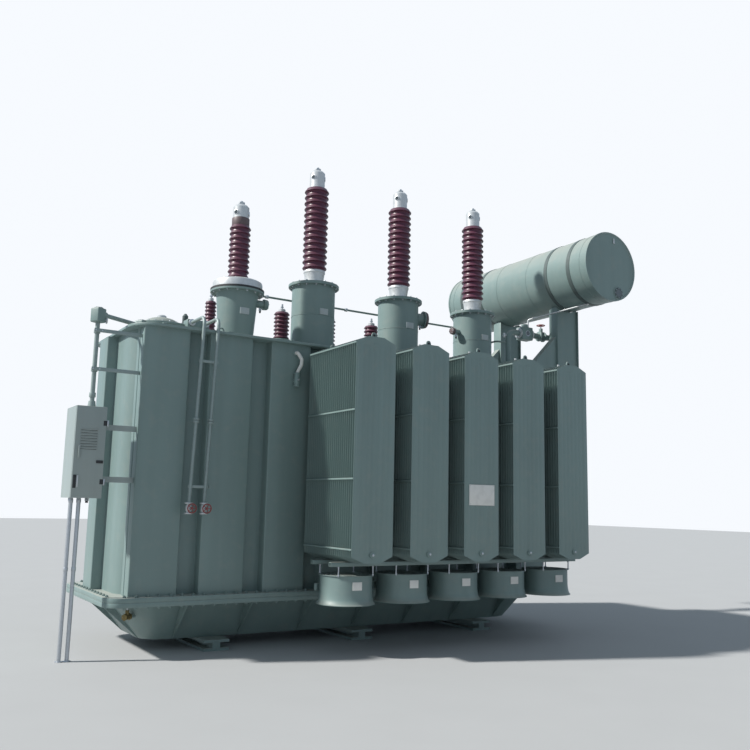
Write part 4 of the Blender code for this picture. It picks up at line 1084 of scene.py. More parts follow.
class TRANSFORMER_OT_bushings(bpy.types.Operator):
    """Turrets with their terminal boxes, and all bushings with sheds, caps, clamps and bolts"""
    bl_idname = "transformer.bushings"
    bl_label = "Bushings"

    def execute(self, context):
        size = settings().bushing
        for letter in "abc":
            self.make_turret("turret_" + letter, size.turret, size.turret, size)
            self.make_bushing("bushing_" + letter, size.sheds, None, size.foot, size.cap, size)
        self.make_turret("turret_neutral", size.neutral_top, size.neutral_foot, size)
        self.make_bushing("bushing_neutral", size.neutral_sheds, size.neutral_tip,
                          size.neutral_bushing_foot, size.neutral_cap, size)
        for node in ("lv_bushing_1", "lv_bushing_2", "lv_bushing_3"):
            self.make_low_bushing(node, size.low_sheds, size.low_foot)
        self.make_low_bushing("small_bushing", size.small_sheds, size.small_foot)
        return {"FINISHED"}

    def make_turret(self, node, radius, foot_radius, size):
        """A riser with rolled walls, flanges, bolts, a terminal box and a bare plate."""
        low, high, place = upright_of(node)
        piece = Piece()
        top = high.z
        if node == "turret_neutral":
            top = high.z - size.collar_height
            self.add_collar(piece, place, top, high.z, size)
        else:
            piece.bolt(0.014, circle_places(place + UP * top, size.flange - 0.028, 16))
        under = top - size.flange_thickness
        foot = foot_radius + (size.flange - size.turret) / 2
        plate_top = low.z + 0.027
        piece.add(turned([(0, top - 0.001), (size.flange - 0.003, top - 0.001), (size.flange, top - 0.004),
                          (size.flange, under + 0.004), (size.flange - 0.003, under), (radius + 0.008, under),
                          (radius, under - 0.008), (foot_radius, plate_top + 0.008),
                          (foot_radius + 0.008, plate_top), (foot, plate_top), (foot, low.z), (0, low.z)],
                         place, sides=56), "paint")
        piece.bolt(0.014, circle_places(place + UP * under, size.flange - 0.028, 16, -UP))
        piece.bolt(0.011, circle_places(place + UP * plate_top, foot - 0.012, 16))
        piece.add(ring(place + UP * (low.z + 0.48), (radius + foot_radius) / 2, 0.004, sides=56,
                       wire_sides=6), "paint")
        self.add_terminal_box(piece, place + UP * top, radius, *TERMINALS[node])
        rise = (top - low.z) * PLATE_SHARE
        wall = foot_radius + (radius - foot_radius) * PLATE_SHARE
        plate = Matrix.Translation(place + UP * (low.z + rise)) @ Matrix.Rotation(math.radians(2), 4, "Z")
        piece.add(block((-0.06, -wall - 0.006, -0.04), (0.06, -wall + 0.012, 0.04), 0.001), "label", [plate])
        piece.finish(node + "_fine", [node])

    def add_terminal_box(self, piece, top, radius, angle, drop, reach, finish):
        """A round terminal box on a stub, with its bolted lid and a cable gland."""
        out = outward(angle)
        spot = top - UP * drop
        piece.add(bar(spot + out * (radius - 0.03), spot + out * (radius + 0.1), reach * 0.7, 28), "paint")
        piece.add(bar(spot + out * (radius + 0.088), spot + out * (radius + 0.104), reach, 32, 0.002),
                  "paint")
        piece.add(bar(spot + out * (radius + 0.105), spot + out * (radius + 0.148), reach, 32, 0.01,
                      reach * 0.9), finish)
        places = circle_places(spot + out * (radius + 0.146), reach * 0.7, 6, out)
        piece.bolt(0.007, places)
        gland = spot + out * (radius + 0.05) - UP * reach * 0.6
        piece.add(bar(gland, gland - UP * 0.045, 0.017, 6, 0.001), "zinc")
        piece.add(bar(gland - UP * 0.04, gland - UP * 0.07, 0.012, 12), "rubber")

    def add_collar(self, piece, place, top, high, size):
        """The silver collar on the neutral's turret, a dark ring at the flange's top edge, and bolts."""
        reach = size.collar
        piece.add(turned([(0, high), (reach - 0.05, high), (reach - 0.03, high - 0.008),
                          (reach - 0.006, high - 0.022), (reach, high - 0.04), (reach, top + 0.012),
                          (reach - 0.01, top), (0, top)], place, sides=56), "cap")
        rim = size.flange + 0.001
        piece.add(turned([(0, top + 0.012), (rim - 0.002, top + 0.012), (rim, top + 0.01), (rim, top - 0.014),
                          (0, top - 0.014)], place, sides=56), "rubber")
        piece.bolt(0.012, circle_places(place + UP * (high - 0.002), 0.22, 12))

    def make_bushing(self, node, number, tip, foot, cap, size):
        """Foot, sheds, silver cap with its sight glasses, and the terminal; a brown ring on the neutral."""
        low, high, place = upright_of(node)
        tip = tip or (high.x - low.x) / 2
        core = tip * CORE_SHARE
        stud = high.z - 0.06
        shed_top = stud - cap
        shed_low = low.z + foot
        piece = Piece()
        sheds = shed_profile(shed_top, shed_low, number, core, tip, tip * 0.985)
        piece.add(turned([(0, shed_top + 0.01)] + sheds + [(0, shed_low)], place, sides=56), "glaze")
        self.add_foot(piece, place, low.z, foot, min(0.15, tip), core)
        crown = size.crown
        piece.add(turned([(0, stud), (crown * 0.7, stud), (crown * 0.78, stud - 0.004), (crown, stud - 0.03),
                          (crown, shed_top + 0.022), (crown + 0.007, shed_top + 0.018),
                          (crown + 0.007, shed_top - 0.002), (0, shed_top - 0.002)], place, sides=48), "cap")
        if node == "bushing_neutral":
            piece.add(bar(place + UP * shed_top, place + UP * (shed_top + 0.1), crown + 0.009, 48, 0.004),
                      "terminal")
        sight = place + UP * (shed_top + cap * 0.6)
        for angle in (-150, -30, 90):
            out = outward(angle)
            piece.add(bar(sight + out * (crown - 0.012), sight + out * (crown + 0.005), 0.034, 24, 0.002),
                      "zinc")
            piece.add(bar(sight + out * (crown - 0.01), sight + out * (crown + 0.0065), 0.026, 20), "glass")
        self.add_terminal(piece, place, stud, high.z)
        piece.finish(node + "_fine", [node])

    def add_foot(self, piece, place, low, foot, wide, core):
        """The pale tapered foot under the sheds, on its bolted flange."""
        rim = low + min(0.024, foot * 0.8)
        top = low + foot
        profile = [(0, top + 0.003), (core + 0.002, top + 0.003), (core + 0.006, top - 0.004)]
        if foot > 0.05:
            profile += [(core + 0.006, top - 0.03), (core, top - 0.036), (wide - 0.03, rim + 0.02),
                        (wide - 0.026, rim)]
            piece.bolt(0.011, circle_places(place + UP * rim, wide - 0.014, 8))
        piece.add(turned(profile + [(wide - 0.003, rim), (wide, rim - 0.004), (wide, low), (0, low)], place,
                         sides=48), "cap")

    def add_terminal(self, piece, place, stud, high):
        """The stud on a cap, with its two-part clamp and bolts."""
        piece.add(bar(place + UP * stud, place + UP * high, 0.02, 20), "zinc")
        for side in (-1, 1):
            near, far = sorted((side * 0.003, side * 0.026))
            piece.add(block(place + Vector((-0.036, near, stud + 0.012)),
                            place + Vector((0.036, far, high - 0.012)), 0.005), "cap")
        for dx in (-0.027, 0.027):
            spot = place + Vector((dx, -0.026, (stud + high) / 2))
            piece.bolt(0.007, [at(*spot, (0, -1, 0))])

    def make_low_bushing(self, node, number, foot):
        """A short bushing on its own riser."""
        low, high, place = upright_of(node)
        wide = (high.x - low.x) / 2
        tip = wide * 0.85
        core = tip * LOW_CORE_SHARE
        stud = high.z - 0.07
        shed_top = stud - 0.05
        shed_low = low.z + foot
        piece = Piece()
        sheds = shed_profile(shed_top, shed_low, number, core, tip, tip)
        piece.add(turned([(0, shed_top + 0.01)] + sheds + [(0, shed_low)], place, sides=36), "glaze")
        piece.add(turned([(0, shed_low + 0.002), (wide, shed_low + 0.002), (wide, shed_low - 0.016),
                          (wide - 0.022, shed_low - 0.016), (wide - 0.022, low.z + 0.016),
                          (wide, low.z + 0.016), (wide, low.z), (0, low.z)], place, sides=36), "paint")
        for level, direction in ((low.z + 0.016, UP), (shed_low - 0.016, -UP)):
            piece.bolt(0.008, circle_places(place + UP * level, wide - 0.01, 8, direction))
        piece.add(turned([(0, stud), (wide * 0.3, stud), (wide * 0.38, stud - 0.01), (wide * 0.38, shed_top),
                          (0, shed_top)], place, sides=28), "cap")
        piece.add(bar(place + UP * stud, place + UP * high.z, 0.014, 16), "zinc")
        piece.add(bar(place + UP * (stud + 0.02), place + UP * (stud + 0.034), 0.022, 6), "zinc")
        piece.finish(node + "_fine", [node])


STRAPS = (-1.26, -0.79, 0.79, 1.26)
SEAMS = (-1.49, -0.35, 0.35, 1.49)
SADDLES = (-1.0, 1.0)
FILLER = 0.5
HATCH = (3.823, 4.82)
CLEAT = (3.743, 5.6)


class TRANSFORMER_OT_conservator(bpy.types.Operator):
    """The oil conservator with its rims, straps, gauge hatch, filler and stands"""
    bl_idname = "transformer.conservator"
    bl_label = "Conservator"

    def execute(self, context):
        size = settings().conservator
        low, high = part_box("conservator_shell")
        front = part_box("conservator_end_front")[0].y
        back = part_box("conservator_end_back")[1].y
        axis = (low + high) / 2
        radius = (high.x - low.x) / 2
        self.make_drum(axis, radius, front, back, size)
        for node in ("conservator_stand_front", "conservator_stand_back"):
            paint_node(node, "paint")
            self.make_stand_fittings(node, axis)
        return {"FINISHED"}

    def make_drum(self, axis, radius, front, back, size):
        """Shell, flanged ends, straps, seams, gauge hatch, end cleats, saddles and filler."""
        along = Vector((0, 1, 0))
        start = Vector((axis.x, 0, axis.z))
        inner = radius - 0.008
        profile = [(0, back - 0.012), (inner - 0.02, back - 0.012), (inner - 0.008, back),
                   (radius, back), (radius, back - 0.03), (inner, back - 0.034),
                   (inner, front + 0.034), (radius, front + 0.03), (radius, front),
                   (inner - 0.008, front), (inner - 0.02, front + 0.012), (0, front + 0.012)]
        piece = Piece()
        piece.add(turned(profile, start, along, 96), "paint")
        # The straps take the strap finish: painted shade along each raised band.
        for y in STRAPS:
            band = [(inner - 0.004, y + size.strap / 2), (radius - 0.002, y + size.strap / 2 - 0.002),
                    (radius - 0.002, y - size.strap / 2 + 0.002), (inner - 0.004, y - size.strap / 2)]
            piece.add(turned(band, start, along, 96), "strap")
        for y in SEAMS:
            piece.add(ring(start + along * y, inner, 0.004, along, 80, 6), "paint")
        hatch = Vector((HATCH[0], front + 0.012, HATCH[1]))
        piece.add(bar(hatch, hatch - along * 0.006, size.hatch, 40, 0.002), "paint")
        piece.add(bar(hatch - along * 0.004, hatch - along * 0.011, size.hatch * 0.82, 36, 0.002), "strap")
        piece.add(bar(hatch - along * 0.008, hatch - along * 0.012, size.hatch * 0.55, 32), "glass")
        piece.bolt(0.006, circle_places(hatch - along * 0.011, size.hatch * 0.7, 8, (0, -1, 0)))
        for y in (front + 0.004, back - 0.004):
            outline = [(-0.016, -0.03), (0.016, -0.03), (0.01, 0.045), (-0.01, 0.045)]
            piece.add(flat(outline, 0.01, Matrix.Translation((CLEAT[0], y, CLEAT[1])) @ STAND_UP, 0.002),
                      "cap")
        for y in SADDLES:
            outline = [(-0.06, -0.02), (0.06, -0.02), (0.035, 0.0), (-0.035, 0.0)]
            place = Matrix.Translation((axis.x, y, axis.z + radius)) @ STAND_UP
            piece.add(flat(outline, 0.014, place), "paint")
        filler = Vector((axis.x, FILLER, axis.z + radius - 0.02))
        piece.add(bar(filler, filler + UP * 0.018, 0.05, 24, 0.003), "paint")
        piece.finish("conservator_drum",
                     ["conservator_shell", "conservator_end_front", "conservator_end_back"])

    def make_stand_fittings(self, node, axis):
        """Flanges that make the stand's column an I-section, its foot plates, bolts and stiffeners."""
        low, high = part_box(node)
        middle = (low.y + high.y) / 2
        half = 0.09
        piece = Piece()
        for x in (axis.x - 0.223, axis.x + 0.211):
            piece.add(block((x, middle - half, low.z + 0.2), (x + 0.012, middle + half, high.z - 0.02),
                            0.002), "paint")
        for reach, under, over in ((0.64, 0.0005, 0.014), (0.5, 0.168, 0.182)):
            piece.add(block((low.x - 0.001, middle - half, low.z + under),
                            (low.x + reach, middle + half, low.z + over), 0.002), "paint")
        places = [at(low.x + x, middle + y, low.z + 0.014)
                  for x in (0.08, 0.24, 0.4, 0.56) for y in (-0.072, 0.072)]
        piece.bolt(0.013, places)
        for step in range(3):
            x = low.x + 0.3 + 0.16 * step
            piece.add(block((x, middle - half + 0.004, low.z + 0.014),
                            (x + 0.01, middle + half - 0.004, low.z + 0.17)), "paint")
        piece.finish(node + "_fittings")


GLANDS = (-3.56, -3.475, -3.39)
GLAND_LINE = -0.66
LOUVRE_ENDS = (-3.575, -3.4)
COUPLING_HEIGHTS = (0.9, 1.6)


class TRANSFORMER_OT_cabinet(bpy.types.Operator):
    """The drive cabinet with its hinged door, louvres, handle, glands and legs"""
    bl_idname = "transformer.cabinet"
    bl_label = "Cabinet"

    def execute(self, context):
        size = settings().cabinet
        self.make_body(size)
        self.make_door(size)
        for name in ("cabinet_leg_left", "cabinet_leg_right"):
            self.make_leg(name)
        return {"FINISHED"}

    def make_body(self, size):
        """Paint on the folded box, its back plate, rails of terminals, and glands under its floor."""
        low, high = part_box("cabinet_body")
        left, right = low.x, size.right
        plate = size.back - size.wall
        paint_node("cabinet_body", "cabinet")
        piece = Piece()
        piece.add(block((left + size.wall + 0.002, plate - 0.004, low.z + 0.03),
                        (right - size.wall - 0.002, plate - 0.001, high.z - 0.03)), "zinc")
        rail = plate - 0.03
        for step in range(size.rails):
            z = low.z + 0.2 + 0.24 * step
            piece.add(block((left + 0.04, rail - 0.004, z - 0.018), (right - 0.04, rail, z + 0.018), 0.001),
                      "zinc")
            piece.add(block((left + 0.05, rail - 0.03, z - 0.03), (right - 0.05, rail - 0.004, z + 0.03),
                            0.004), "rubber")
        for x in GLANDS:
            gland = Vector((x, GLAND_LINE, low.z))
            piece.add(bar(gland, gland - UP * 0.03, 0.022, 6, 0.002), "zinc")
            piece.add(bar(gland - UP * 0.028, gland - UP * 0.05, 0.015, 12), "rubber")
        piece.finish("cabinet_fittings")

    def make_door(self, size):
        """Door leaf, louvres with strips of painted shade under them, swing handle, latch, a black patch of
        painted shade for a recess beside its lock bar, and hinge knuckles.
        """
        low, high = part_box("cabinet_door")
        right = size.right
        outer = size.outer
        piece = Piece()
        piece.add(block((low.x, outer, low.z), (right, size.inner, high.z), 0.004, 3), "cabinet")
        near, far = LOUVRE_ENDS
        for step in range(size.louvres):
            z = size.louvre_foot + step * size.louvre_pitch
            piece.add(bar((near, outer + 0.001, z), (far, outer + 0.001, z), 0.008, 10), "cabinet")
            # Under each louvre bar a black strip is painted shade for its slot.
            piece.add(block((near + 0.005, outer - 0.004, z - 0.0105),
                            (far - 0.005, outer + 0.002, z - 0.0065)), "rubber")
        handle = Vector((low.x + 0.05, outer, size.handle))
        piece.add(block(handle + Vector((-0.014, -0.004, -0.08)), handle + Vector((0.014, 0.002, 0.08)),
                        0.002), "cabinet")
        piece.add(block(handle + Vector((-0.009, -0.024, -0.065)), handle + Vector((0.009, -0.012, 0.055)),
                        0.004), "cabinet")
        piece.add(bar(handle + Vector((0, -0.02, 0.05)), handle + Vector((0, 0.001, 0.05)), 0.009, 16),
                  "zinc")
        piece.add(block((far, outer - 0.008, 2.01), (right - 0.01, outer + 0.002, 2.04), 0.003), "rubber")
        # A black patch beside the lock bar is painted shade for a recess.
        piece.add(block((low.x + 0.012, outer - 0.003, 1.75), (low.x + 0.042, outer + 0.002, 1.885), 0.001),
                  "rubber")
        piece.add(block((low.x + 0.046, outer - 0.012, 1.76), (low.x + 0.062, outer + 0.002, 1.88), 0.003),
                  "cap")
        for z in (low.z + 0.14, high.z - 0.2):
            pin = Vector((size.pin_x, size.pin_y, z))
            piece.add(bar(pin, pin + UP * 0.06, 0.0145, 20, 0.001), "zinc")
            piece.add(block((right - 0.03, outer - 0.002, z + 0.004), (pin.x, outer + 0.006, z + 0.056),
                            0.001), "rubber")
        piece.finish("cabinet_door_leaf", ["cabinet_door"], DOOR)

    def make_leg(self, node):
        """A smooth galvanised tube with a foot plate and two couplings, over the frame's leg."""
        low, high, place = upright_of(node)
        radius = (high.x - low.x) / 2
        piece = Piece()
        piece.add(bar(place, place + UP * high.z, radius, 28), "zinc")
        piece.add(bar(place, place + UP * 0.008, radius * 1.9, 28, 0.002), "zinc")
        for z in COUPLING_HEIGHTS:
            piece.add(bar(place + UP * z, place + UP * (z + 0.04), radius * 1.15, 28, 0.002), "zinc")
        piece.finish(node + "_tube", [node])


PIPE_TOPS = (-2.32, -2.15)
PIPE_COUPLINGS = (2.5, 2.53)
PIPE_CLAMPS = (3.2, 1.8)
RIB_FACE = -0.9003
ELBOW = (-1.1, -0.9)
RELAY_HEIGHT = 0.2
OIL_PIPE = 0.045
OIL_BEND = 0.12
DRUM_INLET = 3.66
OIL_VALVE = 3.4
GAS_LINE = 0.06
GAS_HEIGHTS = (4.35, 4.12)
GAS_END = 2.5
GAS_COUPLINGS = (-1.1, 0.12, 1.46, 2.3)
CONDUIT = ((3.133, -0.42, 4.4), (3.133, -0.42, 4.535), (3.56, -1.245, 4.69))


class TRANSFORMER_OT_pipework(bpy.types.Operator):
    """Tap changer head with its drive and pipes, vent elbow, oil pipes, gas relay and conduits"""
    bl_idname = "transformer.pipework"
    bl_label = "Pipework"

    def execute(self, context):
        tap = settings().tap
        self.make_tap_head(tap)
        self.make_tap_drive(tap)
        self.make_tap_pipes(tap)
        self.make_vent_elbow()
        low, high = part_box("gas_relay")
        middle = (low.y + high.y) / 2
        level = low.z + RELAY_HEIGHT / 2
        self.make_lower_oil_pipe(low, high, middle, level)
        self.make_upper_oil_pipe(high, middle, level)
        self.make_relay(low, high, middle, level)
        self.make_gas_pipe()
        self.make_conduit()
        return {"FINISHED"}

    def drive_turn(self, tap):
        """The angle of the level drive tube, from its gear box to the head."""
        return math.atan2(tap.y - tap.drive_y, tap.x - tap.drive_x)

    def make_tap_head(self, tap):
        """Head with its domed lid, bolts, gear, outlet block and vent valve."""
        low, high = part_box("tap_changer_head")
        base = low.z
        rim = base + tap.height
        place = Vector((tap.x, tap.y, 0))
        reach = tap.radius
        dome = [(tap.dome * math.sin(QUARTER * step / 7),
                 rim + tap.dome_height * math.cos(QUARTER * step / 7)) for step in range(7)]
        piece = Piece()
        piece.add(turned(dome + [(tap.dome, rim + 0.004), (tap.dome + 0.008, rim), (reach - 0.004, rim),
                                 (reach, rim - 0.004), (reach, rim - 0.024), (reach - 0.004, rim - 0.028),
                                 (reach - 0.045, rim - 0.03), (reach - 0.045, base + 0.03),
                                 (reach, base + 0.026), (reach, base), (0, base)], place, sides=64), "paint")
        piece.bolt(0.012, circle_places(place + UP * rim, reach - 0.024, 24))
        crown = rim + tap.dome_height - 0.008
        piece.add(turned([(0, crown + 0.04), (0.04, crown + 0.038), (0.055, crown + 0.026), (0.055, crown),
                          (0, crown)], place, sides=32), "cap")
        half = tap.gear / 2
        turn = Matrix.Translation(place + UP * base) @ Matrix.Rotation(self.drive_turn(tap), 4, "Z")
        gear = block((-reach - tap.gear_reach, -half, 0.002), (-reach + 0.05, half, tap.gear), 0.012, 3)
        piece.add(gear, "paint", [turn])
        lid = Vector((-reach - tap.gear_reach + half, 0, tap.gear))
        piece.add(bar(lid - UP * 0.004, lid + UP * 0.008, half * 0.8, 24, 0.002), "paint", [turn])
        front = low.y
        piece.add(block((-2.37, front + 0.008, base), (-2.1, front + 0.16, base + 0.18), 0.01, 3), "paint")
        piece.add(block((tap.x, front + 0.05, base + 0.002), (-2.33, tap.y, base + 0.06), 0.008), "paint")
        vent = Vector((tap.x + reach - 0.05, tap.y, rim))
        top = high.z
        piece.add(bar(vent, Vector((vent.x, vent.y, rim + 0.05)), 0.02, 20), "zinc")
        piece.add(turned([(0, top), (0.014, top), (0.018, top - 0.006), (0.035, top - 0.03),
                          (0.035, rim + 0.07), (0.03, rim + 0.06), (0.028, rim + 0.04), (0, rim + 0.04)],
                         Vector((vent.x, vent.y, 0)), sides=28), "strap")
        piece.finish("tap_changer_head_fine", ["tap_changer_head"])

    def make_tap_drive(self, tap):
        """The upright tube with its clamps and brackets, the gear box, and the level tube to the head."""
        low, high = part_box("tap_drive")
        level = high.z - tap.gear / 2
        foot = low.z
        place = Vector((tap.drive_x, tap.drive_y, 0))
        turn = Matrix.Translation(place) @ Matrix.Rotation(self.drive_turn(tap), 4, "Z")
        half = tap.gear / 2
        piece = Piece()
        piece.add(bar(place + UP * foot, place + UP * (level - 0.09), tap.tube, 28), "tube")
        piece.add(turned([(0, foot + 0.08), (0.032, foot + 0.08), (0.036, foot + 0.076),
                          (0.044, foot + 0.014), (0.05, foot + 0.012), (0.05, foot), (0, foot)], place,
                         sides=36), "tube")
        gear = block((-half, -half, level - 0.1), (half, half, high.z - 0.002), 0.014, 3)
        piece.add(gear, "paint", [turn])
        piece.add(bar((0, 0, high.z - 0.004), (0, 0, high.z + 0.006), half * 0.78, 28, 0.002), "paint",
                  [turn])
        piece.bolt(0.006, [turn @ spot for spot in circle_places((0, 0, high.z + 0.005), half * 0.6, 4)])
        run = math.hypot(tap.x - tap.drive_x, tap.y - tap.drive_y) - tap.radius - tap.gear_reach
        piece.add(bar((half - 0.01, 0, level), (run, 0, level), tap.tube, 28), "tube", [turn])
        for near, far in ((half, half + 0.05), (run - 0.05, run)):
            piece.add(bar((near, 0, level), (far, 0, level), 0.036, 28, 0.002), "tube", [turn])
        piece.add(bar(place + UP * (foot + 0.12), place + UP * (foot + 0.17), 0.034, 28, 0.002), "tube")
        for z in (level - 0.22, 3.0):
            piece.add(bar(place + UP * z, place + UP * (z + 0.04), 0.034, 28, 0.002), "tube")
            piece.add(block((tap.drive_x - 0.05, tap.bracket_y, z),
                            (tap.bracket, tap.bracket_y + 0.01, z + 0.04), 0.001), "tube")
            piece.add(block((tap.drive_x - 0.02, tap.bracket_y + 0.008, z + 0.005),
                            (tap.drive_x + 0.02, tap.drive_y - 0.02, z + 0.035)), "tube")
            places = [at(tap.drive_x + dx, tap.bracket_y, z + 0.02, (0, -1, 0)) for dx in (-0.034, 0.034)]
            piece.bolt(0.008, places)
        wheel = Vector((tap.drive_x + half, tap.drive_y - 0.01, level - 0.07))
        piece.add(bar(wheel, wheel + Vector((0.03, 0, 0)), 0.012, 16), "zinc")
        piece.add(bar(wheel + Vector((0.024, 0, 0)), wheel + Vector((0.036, 0, 0)), 0.034, 28, 0.003), "cap")
        piece.finish("tap_drive_fine", ["tap_drive"])

    def make_tap_pipes(self, tap):
        """Two light pipes with flanges, couplings, clamps, valves and red wheels."""
        low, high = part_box("tap_pipes")
        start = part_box("tap_changer_head")[0].y - 0.0005
        level = high.z - tap.pipe
        y = tap.pipe_y
        foot = tap.valve
        piece = Piece()
        for top_x in PIPE_TOPS:
            x = top_x - tap.lean
            lean = tap.lean / (level - foot)
            piece.add(pipe([(top_x, start, level), (top_x, y, level), (x, y, foot)], tap.pipe, 0.1, 18, 7),
                      "tube")
            for z in (foot + 0.055, foot - 0.055):
                piece.add(bar((x, y, z - 0.008), (x, y, z + 0.008), 0.045, 24, 0.002), "cap")
            piece.add(turned([(0, foot + 0.05), (0.02, foot + 0.05), (0.034, foot + 0.02),
                              (0.034, foot - 0.02), (0.02, foot - 0.05), (0, foot - 0.05)], Vector((x, y, 0)),
                             sides=28), "cap")
            self.add_wheel(piece, Vector((x, y, foot)), Vector((x, low.y + 0.008, foot)))
            piece.add(bar((top_x, start, level), (top_x, start - 0.02, level), 0.04, 24, 0.002), "zinc")
            for z in PIPE_COUPLINGS:
                spot = Vector((x + lean * (z - foot), y, z))
                piece.add(bar(spot, spot + UP * 0.024, 0.036, 24, 0.002), "tube")
        for z in PIPE_CLAMPS:
            shift = tap.lean * (1 - (z - foot) / (level - foot))
            piece.add(block((-2.35 - shift, y - 0.005, z - 0.015), (-2.115 - shift, y + 0.005, z + 0.015),
                            0.002), "tube")
            piece.add(block((-2.165, y, z - 0.015), (-2.155, RIB_FACE, z + 0.015), 0.001), "tube")
        piece.finish("tap_pipes_fine", ["tap_pipes"])

    def add_wheel(self, piece, start, wheel):
        """A red hand wheel on its stem."""
        out = (wheel - start).normalized()
        piece.add(bar(start, wheel, 0.009, 12), "zinc")
        piece.add(ring(wheel, 0.048, 0.007, out, 36, 8), "wheel")
        piece.add(bar(wheel - out * 0.008, wheel + out * 0.006, 0.014, 14), "wheel")
        for place in circle_places(wheel, 0.0, 5, out):
            piece.add(bar((0, 0, 0), (0.046, 0, 0), 0.0045, 6), "wheel", [place])

    def make_vent_elbow(self):
        """The white bent pipe over a valve stub on the third stiffening box."""
        x, y = ELBOW
        piece = Piece()
        piece.add(pipe([(x, y, 3.45), (x, y - 0.05, 3.45), (x + 0.055, y - 0.06, 3.37),
                        (x + 0.05, y - 0.06, 3.3), (x, y - 0.055, 3.2)], 0.022, 0.03, 18, 5), "plate")
        piece.add(bar((x, y, 3.45), (x, y - 0.014, 3.45), 0.042, 24, 0.002), "paint")
        for top, foot, radius, bevel in ((3.2, 3.18, 0.04, 0.002), (3.18, 3.05, 0.034, 0.004),
                                         (3.05, 3.03, 0.04, 0.002)):
            piece.add(bar((x, y - 0.055, top), (x, y - 0.055, foot), radius, 24, bevel), "paint")
        piece.add(bar((x, y, 3.11), (x, y - 0.055, 3.11), 0.026, 20), "paint")
        piece.add(bar((x, y - 0.08, 3.11), (x, y - 0.11, 3.11), 0.012, 12), "zinc")
        piece.finish("vent_elbow")

    def make_lower_oil_pipe(self, low, high, y, z):
        """The bent pipe from the cover to the relay, with its flanges and sampling cock."""
        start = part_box("oil_pipe_lower")[0] + Vector((0.08, 0, 0))
        start.y = y
        piece = Piece()
        piece.add(pipe([start, (start.x, y, z), (low.x - 0.001, y, z)], OIL_PIPE, OIL_BEND, 22, 8), "paint")
        piece.add(bar(start, start + UP * 0.022, 0.08, 28, 0.002), "paint")
        piece.bolt(0.009, circle_places(start + UP * 0.022, 0.063, 6))
        for x, side in ((low.x, -1), (high.x, 1)):
            piece.add(bar((x, y, z), (x + side * 0.02, y, z), 0.08, 28, 0.002), "cap")
            piece.bolt(0.009, circle_places((x + side * 0.02, y, z), 0.064, 6, (side, 0, 0)))
        cock = Vector((start.x - 0.03, y, z - 0.07))
        piece.add(bar(cock, cock - Vector((0.06, 0, 0)), 0.016, 16, 0.001), "cap")
        piece.add(bar(cock - Vector((0.045, 0, 0.03)), cock - Vector((0.045, 0, -0.035)), 0.018, 16, 0.002),
                  "cap")
        piece.finish("oil_pipe_lower_fine", ["oil_pipe_lower"])

    def make_upper_oil_pipe(self, high, y, z):
        """The bent pipe from the relay to the drum, with its valve and red wheel."""
        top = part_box("oil_pipe_upper")[1].z
        piece = Piece()
        piece.add(pipe([(high.x + 0.001, y, z), (DRUM_INLET, y, z), (DRUM_INLET, y, top)], OIL_PIPE, OIL_BEND,
                       22, 8), "paint")
        valve = Vector((OIL_VALVE, y, z))
        for dx in (-0.05, 0.035):
            piece.add(bar(valve + Vector((dx, 0, 0)), valve + Vector((dx + 0.018, 0, 0)), 0.078, 28, 0.002),
                      "paint")
        piece.add(bar(valve, valve + UP * 0.13, 0.03, 20, 0.003), "paint")
        piece.add(bar(valve + UP * 0.12, valve + UP * 0.19, 0.009, 12), "zinc")
        piece.add(ring(valve + UP * 0.18, 0.06, 0.008, UP, 36, 8), "wheel")
        piece.add(bar(valve + UP * 0.17, valve + UP * 0.19, 0.015, 12), "wheel")
        for step in range(4):
            out = Matrix.Rotation(QUARTER * step, 3, "Z") @ Vector((0.058, 0, 0))
            piece.add(bar(valve + UP * 0.18, valve + UP * 0.18 + out, 0.005, 6), "wheel")
        piece.finish("oil_pipe_upper_fine", ["oil_pipe_upper"])

    def make_relay(self, low, high, y, z):
        """The relay's body, its round lid and its two windows."""
        x = (low.x + high.x) / 2
        top = low.z + RELAY_HEIGHT
        piece = Piece()
        piece.add(block((low.x + 0.003, low.y, low.z), (high.x - 0.003, high.y, top), 0.012, 3), "paint")
        piece.add(bar((x, y, top), (x, y, high.z), 0.05, 24, 0.004), "paint")
        for side in (-1, 1):
            spot = Vector((x, y + side * 0.075, z))
            piece.add(bar(spot - Vector((0, side * 0.01, 0)), spot + Vector((0, side * 0.004, 0)), 0.045, 28),
                      "zinc")
            piece.add(bar(spot, spot + Vector((0, side * 0.006, 0)), 0.034, 24), "glass")
        piece.finish("gas_relay_fine", ["gas_relay"])

    def make_gas_pipe(self):
        """The thin pipe that gathers gas from the turrets and leads to the oil pipe."""
        y = GAS_LINE
        z, low_z = GAS_HEIGHTS
        neutral = upright_of("turret_neutral")[2]
        route = [(neutral.x, neutral.y + 0.24, low_z), (neutral.x, y, low_z), (neutral.x, y, z),
                 (GAS_END, y, z), (GAS_END, y, low_z), (GAS_END, -0.42, low_z), (2.69, -0.42, low_z)]
        piece = Piece()
        piece.add(pipe(route, 0.014, 0.045, 14, 5), "paint")
        for node in ("turret_a", "turret_b", "turret_c"):
            x = upright_of(node)[2].x
            piece.add(bar((x, -0.04, z), (x, y, z), 0.012, 14), "paint")
            for near in (0.0, 0.014):
                piece.add(bar((x, near, z), (x, near + 0.012, z), 0.028, 20, 0.001), "zinc")
        for x in GAS_COUPLINGS:
            piece.add(bar((x, y, z), (x + 0.04, y, z), 0.024, 20, 0.002), "zinc")
        piece.finish("gas_gathering_pipe")

    def make_conduit(self):
        """The light conduit from the gas relay's lid to the drum's underside."""
        end = Vector(CONDUIT[-1])
        piece = Piece()
        piece.add(pipe(CONDUIT, 0.012, 0.03, 14, 5), "cap")
        piece.add(bar(end, end - UP * 0.012, 0.026, 20, 0.002), "cap")
        piece.finish("gauge_conduit")


